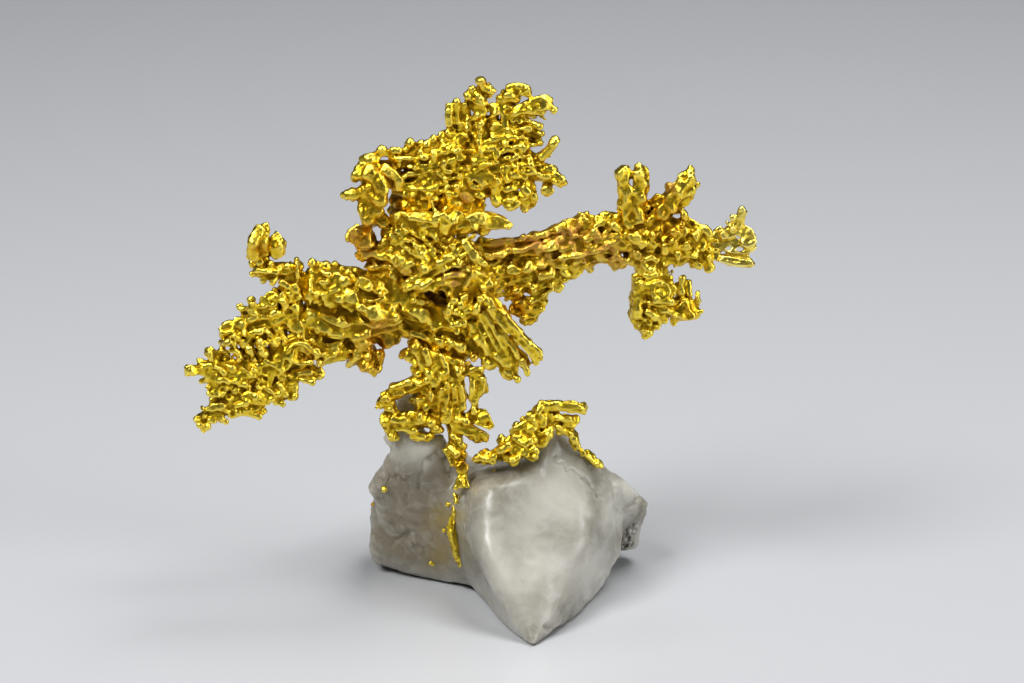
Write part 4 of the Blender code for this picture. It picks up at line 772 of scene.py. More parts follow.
# %% Limbs
VEINS = {
    "gold_left_wing": [
        [(-20.6, 42.4, 2.5), (-25, 41.2, 2), (-30, 39.4, 1)],
        [(-20.6, 37.4, 2.5), (-27, 35.4, 1.5), (-34, 35, -0.4)],
        [(-20.6, 33.2, 2), (-26, 31.8, 1.2), (-33, 29, 0.3)],
        [(-23.4, 45.8, 1.5), (-24.8, 49, 1.5), (-25, 52.4, 1.5)],
    ],
    "gold_hook": [[(-11.4, 52, 4), (-12.1, 55, 4), (-12, 57.6, 4), (-14, 59, 4)]],
    "gold_fan": [
        [(-4, 54, 5.5), (-8, 59.6, 5.5), (-12, 60.6, 5)],
        [(-3, 54, 5.5), (-3.6, 59, 5.5), (-4.6, 62.8, 5.5)],
        [(-1, 55, 5.5), (0, 61, 5.5), (1.2, 70.4, 5.5)], [(3, 60, 5.5), (4.6, 66, 5.5), (9.6, 67, 5.4)],
        [(3, 59, 5.5), (8, 60.4, 5.4), (10.4, 62.8, 5.2)], [(4, 59.6, 5.5), (5, 57, 5), (6, 54.4, 4.8)],
        [(4, 59.6, 5.5), (11.6, 57.8, 5.3)],
    ],
    "gold_core": [
        [(-20.4, 45, 3.4), (-14, 44, 4), (-8.6, 44.2, 4)],
        [(-20.4, 40, 3.4), (-14, 38, 3.8), (-9, 38.6, 4.4)],
        [(-13, 51, 3.8), (-8, 49.6, 4), (-3, 47.6, 4), (1.6, 46, 4.2)],
        [(-9, 53.2, 4), (-2, 53, 4), (4.8, 52.6, 3.4)], [(1, 44, 2), (4.6, 39.4, 1.6), (7.4, 35, 1.6)],
        [(-8, 42, 5), (-3, 40, 5), (1, 37, 4.4)],
    ],
    "gold_arm": [
        [(0, 48, 5), (8, 49.2, 5), (18, 51.4, 5), (28.6, 50.6, 5)],
        [(2, 45.4, 4.8), (9, 46.6, 4.8), (16, 48.8, 5)], [(19, 52.6, 4.8), (18.5, 59.4, 4.6)],
        [(20.6, 52.6, 5), (20.7, 60, 5)], [(22.4, 52.4, 5), (27, 59, 4.4)], [(26, 52, 5), (29, 47, 5.4)],
    ],
    "gold_drop": [
        [(22, 46.6, 4.8), (21, 42.6, 4.4), (21.4, 38.8, 4.2)], [(22.4, 43.4, 4), (28.2, 42, 4.6)],
    ],
    "gold_plate": [[(29.4, 50.4, 6), (34.8, 50.8, 6)], [(29.8, 48.2, 6), (34.6, 48, 6)]],
    "gold_stem": [
        [(-5.6, 41, 4.4), (-5, 36, 4.4), (-3, 30, 4), (-1.4, 22, 1.4)],
        [(-4, 33, 3.6), (-10, 31.4, 3.2), (-9.6, 27, 3.6)], [(1.2, 34.4, 3.2), (0.6, 29.4, 3.2)],
        [(-10, 28.6, 3.4), (-3.8, 27.6, 3.2)],
    ],
    "gold_crest": [
        [(0.6, 23.9, 2.2), (4.6, 25.2, 1.2), (8.7, 30.4, 2.4), (14, 30, 3.2)],
        [(9.2, 29, 2.6), (13.2, 25.4, 3.6), (15.8, 22.8, 4.8)],
    ],
    "gold_seam": [[(-1.6, 19.6, 1.4), (-2.2, 15, 2.6), (-1.2, 11, 3.2)]],
}
print("veins:", {node: len(veins) for node, veins in VEINS.items()})

# %% [markdown]
# ## The forms that make this specimen itself
# Below, region by region, are the ridges, leaves, knobs and pits that a viewer would point at. A ridge or
# a leaf is its half width followed by places on the picture ruler; a knob and a pit are a place and a
# radius; bare patches are where the real gold is smooth, so no ribs grow there. Which limb a form belongs
# to is found by rays.

# %% The left wing and its two-lobed knob
RIDGES, LEAVES, KNOBS, PITS, BARE = [], [], [], [], []
RIDGES += [
    (0.28, (-26.9, 48.4), (-26.8, 49.8), (-26.4, 51.1), (-25.6, 52.1), (-24.6, 52.5)),
    (0.16, (-24.3, 50.7), (-24.7, 49.9), (-24.6, 49.2), (-24.1, 48.6)),
    (0.3, (-26.2, 46.9), (-25, 46.8), (-23.4, 46.7)), (0.22, (-21.2, 48.3), (-21.1, 47.2), (-21, 45.9)),
    (0.18, (-21.9, 48), (-21.8, 46.6)), (0.32, (-23.1, 45.5), (-22.1, 44.9), (-20.9, 44.4)),
    (0.25, (-23.3, 44.9), (-22.6, 44.3), (-21.8, 43.9)),
    (0.24, (-25, 42.9), (-24.9, 43.8), (-24.4, 44.3), (-23.8, 43.9), (-23.2, 43.2), (-22.6, 42.9)),
    (0.26, (-28.1, 42.1), (-27, 42.2), (-25.9, 42.4), (-24.9, 42.5)),
    (0.28, (-28.7, 40.9), (-27.9, 40.8), (-27, 40.7), (-26, 41.2)), (0.24, (-26.9, 41.9), (-26, 41.5)),
    (0.4, (-30.1, 40), (-29.4, 40.4), (-28.4, 40.2), (-27.4, 40.3)),
    (0.3, (-30.4, 39.2), (-29.6, 39.3), (-28.8, 39.6)),
    (0.35, (-30.5, 38.3), (-29.9, 37.9), (-29.2, 38.3)), (0.25, (-28.9, 38.9), (-27.9, 38.3), (-26.5, 38)),
    (0.28, (-27.6, 39), (-26.4, 39.3), (-25.4, 39.5)), (0.25, (-25.2, 39.9), (-24.6, 39.3), (-24.2, 38.8)),
    (0.22, (-23.6, 39.2), (-23.4, 38.4)), (0.25, (-23.9, 39.6), (-22.8, 39.9), (-22, 39.6)),
    (0.24, (-24.4, 41.5), (-23.6, 41.8), (-22.7, 41.6)),
    (0.22, (-22.4, 36.9), (-21.8, 37.8), (-20.8, 38.1), (-19.6, 37.6), (-18.7, 36.6)),
    (0.22, (-22.3, 36.4), (-21.5, 35.7), (-20.4, 35.5), (-19.2, 35.7)),
    (0.2, (-21.2, 37.3), (-20.2, 37), (-19.2, 36.2)), (0.3, (-33.2, 35.9), (-32.3, 35.6), (-31.4, 35.2)),
    (0.32, (-33, 35.4), (-32.2, 35.1)), (0.3, (-32.2, 36.6), (-31.6, 36.9), (-30.9, 36.7)),
    (0.25, (-30.9, 36.9), (-30.2, 37), (-29.4, 36.7)), (0.22, (-29.4, 37.1), (-28.4, 36.9), (-27.3, 36.5)),
    (0.2, (-27.9, 37.6), (-27, 36.6), (-26.3, 36)), (0.28, (-31.2, 35.2), (-30.4, 34.8), (-29.9, 34.2)),
    (0.3, (-25.2, 36), (-24.4, 35.5), (-23.5, 35.1), (-22.6, 34.6)),
    (0.22, (-26.5, 34.1), (-25.8, 33.6), (-24.9, 33.2)),
    (0.22, (-27.9, 34.9), (-27.2, 34.4), (-26.7, 33.9)), (0.3, (-28.9, 33.4), (-28.1, 33), (-27.2, 32.9)),
    (0.25, (-30.9, 33.3), (-30.1, 33.6), (-29.4, 33.2)), (0.25, (-29.9, 32.6), (-29, 32.3), (-28.4, 31.9)),
    (0.35, (-27.9, 31.5), (-26.9, 31.9), (-26, 31.3)), (0.3, (-28.7, 30.2), (-27.9, 30.5), (-27.1, 30.6)),
    (0.28, (-28.5, 29.6), (-27.2, 29.4), (-26.2, 29.2), (-25.5, 29)),
    (0.25, (-27.6, 29.9), (-26.3, 29.9), (-25.5, 30.3), (-24.6, 30.8)),
    (0.3, (-24.4, 31.3), (-23.4, 30.7), (-22.6, 30.5)),
    (0.28, (-23.6, 33.2), (-22.9, 32.4), (-22.4, 31.6)), (0.25, (-24.9, 32.6), (-24.2, 32), (-23.6, 31.6)),
    (0.35, (-21, 34.2), (-20.2, 34.4), (-19.3, 34.5)), (0.3, (-20.9, 33.6), (-20, 33.4), (-19, 33.2)),
    (0.6, (-26.3, 48.2), (-26.6, 49.5), (-26.3, 50.9), (-25.4, 51.9)),
    (0.34, (-24.9, 51.4), (-25.2, 50.2), (-25, 48.8)),
]
LEAVES += [
    (0.85, (-23.7, 48.3), (-23.6, 50), (-23.6, 51.5)), (0.32, (-26.2, 37.4), (-25.2, 37.9), (-24.1, 38.4)),
    (0.65, (-34.8, 35.1), (-34, 34.7), (-33.1, 34.4)), (0.75, (-22.2, 40.7), (-21.3, 40.1), (-20.4, 39.5)),
    (0.6, (-31, 36.4), (-30.2, 36.2), (-29.2, 36.6)), (0.5, (-22, 42.4), (-21.2, 42.2), (-20.2, 42)),
    (0.4, (-29.8, 35.4), (-29.1, 34.9), (-28.5, 34.6)), (0.45, (-26.2, 32), (-25.6, 31.5), (-25, 31)),
    (0.45, (-32.3, 29.9), (-31.2, 30.2), (-29.8, 30.4)), (0.5, (-22, 31), (-21.6, 31.8), (-21.3, 32.5)),
    (0.55, (-18.9, 34.6), (-18.2, 34.3), (-17.9, 33.7)),
]
KNOBS += [
    (-24, 52, 0.35), (-23.4, 51.6, 0.3), (-26.6, 47.7, 0.55), (-25.6, 47.8, 0.5), (-24.3, 47.6, 0.5),
    (-26.6, 46.4, 0.45), (-25.2, 45.6, 0.45), (-24.1, 45.5, 0.5), (-23.3, 47.2, 0.45), (-22.3, 47.4, 0.4),
    (-34.6, 35.1, 0.35), (-30.5, 36.6, 0.35), (-32.8, 33.3, 0.35), (-32, 32.6, 0.35), (-31.8, 31.8, 0.4),
    (-31.5, 31, 0.35), (-33.4, 28.8, 0.5), (-32.5, 29.1, 0.4), (-33, 28.1, 0.55), (-32, 27.8, 0.5),
    (-31.7, 28.6, 0.4), (-31.2, 28.5, 0.4), (-30.3, 28.9, 0.45), (-29.8, 28.4, 0.4), (-29.4, 29.2, 0.35),
    (-23, 30.6, 0.4), (-21.3, 31.5, 0.45), (-18.2, 34, 0.5),
]
PITS += [
    (-23.8, 50.1, 0.62), (-23.3, 48.8, 0.26), (-24.2, 43, 0.5), (-22.4, 36.4, 0.28), (-26.8, 38.9, 0.5),
    (-28.6, 36.2, 0.5), (-20.8, 36.7, 1.05), (-25.6, 32.9, 0.45), (-23, 33.9, 0.45), (-29.4, 31.4, 0.4),
]
BARE += [(-25.2, 50, 2.9), (-20.8, 36.6, 1), (-24.4, 46.8, 1.6), (-21.4, 46.8, 1.4)]

# %% The bright block, its shells and the brown lumps
RIDGES += [
    (0.22, (-19.5, 45.8), (-19.4, 45), (-19.5, 44.2)), (0.2, (-19.9, 43.8), (-19.8, 43), (-19.7, 42)),
    (0.25, (-20.4, 40.8), (-20.3, 40.2)), (0.25, (-18.8, 44.1), (-18.7, 43.5), (-18.6, 43)),
    (0.22, (-18.4, 42.7), (-18.2, 42.4)), (0.3, (-18.4, 46.9), (-17.8, 46.4), (-17, 46.3)),
    (0.3, (-18.4, 45.5), (-17.9, 45.3), (-17.3, 45.5)), (0.18, (-18, 45), (-17.3, 44.5), (-16.9, 44.1)),
    (0.2, (-18, 41.2), (-17.2, 40.7), (-16.2, 40.3), (-15, 40.1), (-14.6, 40.4)),
    (0.18, (-18.2, 42.3), (-17.3, 42), (-16.5, 41.8)), (0.25, (-15.7, 42.9), (-15, 42.3), (-14.3, 41.9)),
    (0.25, (-18.7, 39.6), (-18.2, 38.9), (-18.3, 38.3)), (0.25, (-19.6, 38.6), (-19, 38.1)),
    (0.2, (-17.4, 39.2), (-16.4, 39.1), (-15.5, 39)), (0.2, (-17.3, 38.6), (-16.3, 38.4), (-15.4, 38.5)),
    (0.22, (-17.6, 37.8), (-16.5, 37.9), (-15.6, 38)),
    (0.2, (-13.8, 44.4), (-13.9, 45.6), (-13.2, 46), (-12.3, 45.5), (-11.9, 44.8)),
    (0.25, (-13.6, 45), (-12.7, 44.6), (-12.2, 45)),
    (0.2, (-12.9, 43.3), (-12, 43.1), (-11, 43.2), (-10.3, 43.6)),
    (0.2, (-11.2, 44.6), (-10.5, 44.7), (-10.1, 44.2)), (0.14, (-13.8, 41.6), (-13.4, 41), (-12.9, 40.4)),
    (0.18, (-12.9, 40.4), (-12, 40.1), (-11, 40), (-9.6, 40.4)),
    (0.35, (-13.8, 42.2), (-13.2, 42.6), (-12.8, 42)), (0.25, (-9.6, 42.2), (-9, 42.5), (-8.6, 41.9)),
    (0.3, (-9.8, 40.3), (-9, 40.5), (-8.4, 40.9)), (0.4, (-14.3, 38.6), (-13, 38.9), (-12.3, 39.3)),
    (0.35, (-13.4, 38.1), (-12.4, 37.9), (-11.6, 38.4)),
    (0.35, (-14.9, 35.3), (-14.1, 35.9), (-13.4, 36.6)), (0.25, (-14.6, 37), (-13.4, 37.2), (-12.2, 37.2)),
]
LEAVES += [
    (0.45, (-17.5, 44.3), (-16.6, 44.6), (-15.9, 44.8)), (0.55, (-16, 45), (-15.2, 45.6), (-14.3, 45.4)),
    (0.5, (-16.7, 43.4), (-15.9, 43.3), (-15.2, 43.1)), (0.35, (-11.3, 39.8), (-10.5, 40.2), (-9.8, 40.4)),
    (1.1, (-11.2, 37.9), (-10, 38.5), (-8.6, 39.2)), (0.5, (-17.4, 37.3), (-16.6, 37.2), (-16, 36.6)),
    (0.75, (-17.9, 43.9), (-17, 43), (-16.2, 42)), (0.8, (-15.4, 44.6), (-14.5, 43.6), (-13.6, 42.8)),
    (0.95, (-12.6, 41.4), (-11.6, 41.9), (-10.6, 42.4)),
    (0.7, (-18.6, 40.6), (-17.6, 39.9), (-16.7, 39.5)),
]
KNOBS += [
    (-19.3, 47.8, 0.6), (-19.3, 46.7, 0.5), (-17.6, 47.4, 0.65), (-16.5, 47.6, 0.5), (-15.7, 47.1, 0.4),
    (-14.8, 46.6, 0.6), (-14.3, 46.2, 0.35), (-9, 41.2, 0.55), (-11, 36.6, 0.75), (-12.4, 36.3, 0.6),
    (-13.8, 36.8, 0.5), (-12.9, 35.2, 0.75), (-12.1, 34.9, 0.65), (-11.2, 34.8, 0.55), (-16.5, 36.6, 0.4),
    (-17.7, 36.8, 0.35), (-18.4, 35.5, 0.45),
]
PITS += [(-15.6, 40.8, 0.4), (-19.2, 39.6, 0.5), (-9, 41.2, 0.3)]
BARE += [
    (-17.6, 45, 1.8), (-17.4, 41.6, 1.9), (-14.6, 44.2, 1.7), (-11.8, 41.8, 2.2), (-10, 38.4, 1.2),
    (-15.8, 38.6, 1.6),
]

# %% The curled rope, the finger and the smooth lump
RIDGES += [
    (0.65, (-13, 60.1), (-12.3, 60.5), (-11.4, 60.5)), (0.3, (-11.6, 59.6), (-10.6, 59.4), (-9.8, 59.2)),
    (0.45, (-11.9, 59.3), (-11, 58.8), (-10.3, 57.9), (-9.9, 57.2)),
    (0.6, (-10.8, 59.3), (-9.6, 58.7), (-8.8, 58), (-8.6, 57)), (0.35, (-9.3, 56.9), (-9.2, 56.3)),
    (0.72, (-12.9, 59), (-12.1, 58.7), (-11.3, 58), (-10.9, 57), (-10.8, 56), (-11.3, 55)),
    (0.6, (-13, 59.9), (-13.4, 59), (-13.2, 58.2)), (0.5, (-12.4, 57.3), (-12, 56.3), (-11.9, 55.3)),
    (0.55, (-12.4, 56), (-13, 55.1), (-13.2, 54.2), (-12.9, 53.4), (-12.2, 52.8)),
    (0.45, (-12.1, 55.2), (-12.2, 54.3), (-11.7, 53.5)),
    (0.55, (-11.3, 54.2), (-10.8, 53.5), (-10.5, 52.9), (-10.9, 52.3)),
    (0.58, (-15.2, 56.1), (-14.4, 56.2), (-13.6, 56.4), (-12.9, 56.6)),
    (0.25, (-14.9, 50.4), (-15, 51.1), (-14.4, 51.9), (-13.6, 52.4)),
    (0.22, (-12.6, 52.2), (-12, 51.6), (-11.6, 50.9)), (0.3, (-13.6, 49.2), (-12.5, 48.9), (-11.4, 49)),
    (0.3, (-13.9, 49), (-13.4, 48.4), (-12.6, 48.6)), (0.28, (-12.9, 47.3), (-12, 47.1), (-11.2, 47.4)),
]
LEAVES += [
    (0.8, (-14.6, 50.2), (-13.9, 51.1), (-13.2, 51.9)), (0.85, (-13.9, 49.8), (-13, 50.6), (-12.2, 51.3)),
    (0.6, (-13, 49.9), (-12.2, 50.3), (-11.5, 50.9)),
]
KNOBS += [
    (-8.4, 57.8, 0.5), (-11.9, 52.9, 0.5), (-14, 58.4, 0.6), (-13.4, 58.9, 0.45), (-15.4, 56.1, 0.45),
    (-15, 55.7, 0.35), (-14.3, 55.6, 0.4), (-14.4, 56.7, 0.35), (-13, 48.3, 0.4), (-12.4, 46.4, 0.45),
    (-11.6, 47.9, 0.4), (-12.6, 60.3, 0.75), (-11.9, 60.6, 0.5), (-10.8, 61.5, 0.72), (-10.3, 61.2, 0.5),
]
BARE += [(-13.1, 51, 1.7), (-12.2, 58, 2), (-12.2, 55, 2), (-11.6, 53, 1.4), (-14.4, 56.2, 1.2)]

# %% The top fan: meshwork, fingers and lobes
RIDGES += [
    (0.22, (-10, 60.9), (-9, 60.5), (-8, 60.6), (-7, 60.5), (-6, 60.7), (-5.2, 60.6)),
    (0.2, (-9.9, 60.5), (-9.2, 60.2), (-8.4, 60.3)),
    (0.24, (-7.6, 58.7), (-6.9, 58.7), (-6.2, 59), (-5.3, 59.2)),
    (0.2, (-6.2, 59.1), (-5.4, 58.9), (-4.7, 59)),
    (0.2, (-8.6, 59.9), (-8.9, 59.2), (-8.5, 58.6), (-7.9, 58.3)),
    (0.26, (-7.8, 57), (-6.9, 56.8), (-6, 56.8), (-5, 56.8), (-4, 56.9)),
    (0.2, (-4.2, 57.2), (-3.4, 57.4), (-2.8, 57.7)), (0.2, (-3.9, 56.2), (-3.2, 56.7), (-2.6, 57.2)),
    (0.22, (-6.1, 55.6), (-5.3, 55.7), (-4.6, 55.5), (-3.9, 55.6)),
    (0.2, (-7.1, 54.3), (-6.4, 54.3), (-5.6, 54.1), (-4.9, 53.9), (-4.2, 54.1)),
    (0.26, (-7.5, 53.3), (-6.7, 53.2), (-5.7, 53), (-4.6, 52.9), (-3.8, 53)),
    (0.2, (-4.7, 55.3), (-4.6, 54.6), (-4.1, 53.9), (-3.7, 53.4)),
    (0.28, (-4, 59), (-3.5, 58.4), (-3, 57.9)),
    (0.24, (-3.1, 60.2), (-3.4, 59.5), (-3, 58.9), (-2.2, 58.9)),
    (0.25, (-9.2, 52.7), (-9, 53.5), (-8.4, 54), (-7.8, 53.6)),
    (0.25, (-9.1, 56.5), (-8.4, 56.2), (-7.7, 56.5)),
    (0.2, (0.1, 60.6), (0.9, 60.2), (1.9, 60.5), (2.9, 60.9)), (0.2, (1, 59.6), (1.8, 59.8), (2.7, 59.9)),
    (0.2, (-3, 61.9), (-2.1, 61.6), (-1.2, 61.2)), (0.2, (-0.3, 61.4), (0.5, 61.5), (1, 61)),
    (0.3, (0, 57.3), (0.8, 57), (1.5, 57)), (0.35, (-1.7, 57.2), (-1.6, 56.6), (-1.9, 56)),
    (0.3, (-2.8, 53.1), (-2.3, 53.6), (-1.6, 54.2)), (0.2, (0.2, 54), (1, 54.3), (1.7, 54.2)),
    (0.2, (0, 53.7), (1.6, 53.9), (3.2, 53.7), (4.4, 53.1)),
    (0.2, (0.7, 52.2), (2.2, 52.2), (3.6, 52.1), (4.9, 52.1)),
    (0.28, (-3.1, 51.4), (-2.6, 52.2), (-2.3, 53)), (0.42, (-2.5, 64.5), (-2.6, 65.8), (-2.6, 66.6)),
    (0.33, (-1.7, 64.8), (-1.6, 66), (-1.6, 67.2)),
    (0.3, (-0.6, 67.2), (-0.8, 66.4), (-1, 65.4), (-1.2, 64.5)),
    (0.4, (-0.5, 68.2), (0.3, 67.8), (1.2, 67.3), (2, 67.2)),
    (0.33, (0.4, 68.8), (0.8, 68.4), (1.5, 67.6)), (0.45, (1.4, 69.4), (2, 69), (2.6, 68.9)),
    (0.3, (0.1, 67), (0.9, 67), (1.7, 66.8), (1.9, 66.1)),
    (0.3, (-0.4, 65.3), (0.4, 65.4), (1.1, 65.9), (1.8, 66)), (0.4, (2.2, 66.6), (2.8, 66.9), (3.3, 66.6)),
    (0.33, (2.3, 65.4), (2.9, 65.9), (3.4, 66.4)), (0.25, (2.5, 64), (2.8, 64.5), (3.1, 65)),
    (0.2, (0.6, 64.7), (1, 64.1), (1.6, 63.8)), (0.2, (1.2, 64.6), (1.7, 64.9), (1.8, 65.4)),
    (0.22, (0, 64.3), (0.3, 63.6), (0.7, 63), (1.2, 62.2)),
    (0.28, (-2.9, 63.9), (-2.6, 63.4), (-1.8, 63.2), (-1, 63.4), (-0.3, 63.2)),
    (0.25, (-1.5, 64.2), (-0.8, 64.3), (-0.2, 64)),
    (0.33, (3.6, 68.2), (3.6, 67.2), (4, 66.2), (4.25, 65.2), (4.3, 64.2), (4.25, 63), (4.2, 62.2)),
    (0.45, (4.6, 69), (5.4, 69.4), (6.3, 69.3), (7.1, 68.8)), (0.35, (6, 68.6), (6.8, 68.4), (7.3, 68.5)),
    (0.28, (4.2, 68.2), (5, 68.3), (5.8, 68.2)), (0.3, (4, 67.6), (4.9, 67.8), (5.8, 67.7)),
    (0.28, (4.3, 66.9), (4.9, 66.4), (5.4, 66.6)),
    (0.4, (7.2, 67.5), (8.3, 67.7), (9.2, 67.9), (9.9, 67.5)), (0.4, (5.4, 66.4), (6.2, 66.8), (7, 67.2)),
    (0.33, (4.7, 65.7), (5.4, 66), (6.4, 66.4), (7.4, 66.7)),
    (0.28, (6.1, 66.2), (7.1, 66.3), (8, 66.2), (8.9, 66.1)),
    (0.35, (7.6, 64.9), (8.1, 64.6), (8.6, 64.3)), (0.3, (7.9, 63.8), (8.5, 63.6), (8.9, 63.5)),
    (0.35, (8, 62.9), (8.5, 62.6), (8.6, 62.2)), (0.22, (5, 65.1), (5.7, 65.4), (6.5, 65.5), (7.2, 65.1)),
    (0.2, (5.9, 64.9), (6.5, 65.2), (7.2, 65), (7.8, 64.7)), (0.2, (6, 64.1), (6.8, 64.2), (7.5, 64.3)),
    (0.22, (5.2, 63.8), (6, 63.7), (6.8, 63.9)), (0.22, (6.4, 63.2), (6.9, 63.6), (7.4, 63.9)),
    (0.22, (6, 62.5), (7, 62.3), (8, 62.2)), (0.48, (8.5, 60.6), (9.3, 61.2), (9.8, 61.9), (10.2, 62.5)),
    (0.25, (8.6, 60.3), (9.2, 60.7), (9.7, 61)), (0.3, (4.9, 60.2), (5.4, 60.6), (5.8, 60.9)),
    (0.25, (6.4, 60.9), (6.4, 60.2), (6.6, 59.4)), (0.35, (7.1, 61), (7.3, 60.2), (7.4, 59.5)),
    (0.3, (6.3, 58.9), (7, 58.8), (7.9, 59)), (0.25, (8.2, 59.9), (8.8, 59.5), (9.4, 59.7)),
    (0.35, (9.3, 59.4), (9.9, 59.2), (10.5, 59.2)), (0.35, (10.2, 58.7), (10.8, 58.3), (11.4, 57.9)),
    (0.3, (10, 57.8), (10.6, 57.5), (11.1, 57.2)), (0.3, (8.2, 58.6), (9, 58.2), (9.8, 58.3)),
    (0.25, (5, 58.4), (5.9, 58.4), (7, 58.2)), (0.25, (5, 58.2), (5.4, 57.6), (5.8, 57.4)),
    (0.4, (3.6, 57.9), (3, 57.3), (2.9, 56.4), (2.9, 55.5), (3.4, 54.9)),
    (0.25, (4, 57.6), (3.6, 57), (3.4, 56.2), (3.7, 55.4)),
    (0.35, (4.2, 55.5), (4.3, 54.8), (4.8, 54.4), (5.4, 54.7), (5.7, 55.3)),
    (0.25, (4.4, 55.6), (5, 55.3), (5.6, 55.9)), (0.3, (4.1, 56.6), (4.9, 56.9), (5.7, 56.8)),
    (0.35, (6.4, 57.2), (6.8, 56.6), (7.3, 56.2)),
    (0.4, (7.7, 56.2), (7.9, 55.5), (7.5, 54.9), (6.9, 54.5), (6.4, 54.4)),
    (0.35, (6.8, 55.9), (6.9, 55.2), (6.8, 54.8)), (0.3, (6.1, 56.4), (6.4, 55.8), (6.3, 55)),
]
LEAVES += [
    (0.6, (-9.3, 54.9), (-8.4, 54.9), (-7.4, 55)), (0.9, (0.2, 58.6), (1.2, 58.3), (2.2, 58.1), (3, 57.9)),
    (0.55, (0.6, 56.4), (1.2, 56.2), (1.9, 56.4)), (0.55, (-1.1, 56.2), (-0.4, 55.8), (0.2, 55.3)),
    (0.7, (-0.5, 53.2), (1, 53.3), (2.6, 53), (4.2, 52.7), (5.2, 52.3)),
    (0.5, (0, 66.9), (0.6, 66.6), (1.2, 66.4)), (0.7, (3.1, 65.2), (3.2, 64.2), (3.1, 63.2), (3.2, 62.4)),
    (0.85, (7, 67.1), (8.2, 67.3), (9.3, 67.1), (10.1, 66.7)),
    (0.4, (4.8, 64.4), (4.9, 63.5), (4.9, 62.6)), (0.4, (9.2, 61.9), (9.7, 61.5), (10.2, 61.6)),
    (0.7, (9.3, 57.3), (9.4, 56.5), (9.4, 55.9)),
]
KNOBS += [
    (-9.4, 61.5, 0.5), (-8.7, 61.5, 0.45), (-7.3, 62.4, 0.65), (-7.8, 61.6, 0.5), (-6.1, 62.4, 0.45),
    (-5.3, 62.3, 0.45), (-4.5, 62.9, 0.5), (-3.4, 62.6, 0.4), (-6.3, 55, 0.28), (-8.9, 53.5, 0.45),
    (-0.1, 57.8, 0.4), (-2.6, 66.95, 0.48), (-1.6, 67.4, 0.55), (-0.6, 67.1, 0.35), (-0.4, 68.3, 0.5),
    (0.25, 69, 0.5), (1.35, 69.95, 0.72), (2.7, 68.7, 0.55), (2.3, 69.4, 0.4), (3.75, 69, 0.32),
    (10.2, 66.5, 0.45), (10.4, 62.8, 0.6), (10.3, 59.1, 0.45), (11.5, 57.6, 0.5), (4.9, 54.7, 0.35),
]
PITS += [(-2.3, 64, 0.38), (4.8, 68.6, 0.35), (5.5, 59.9, 0.38)]
BARE += [
    (-8.1, 59.2, 0.6), (-8.4, 54.9, 0.9), (-0.4, 55.6, 0.8), (8.8, 66.9, 1.1), (1.6, 58.3, 1),
    (2.6, 53, 0.7), (0.6, 66.3, 0.6), (3.1, 63.8, 0.8),
]

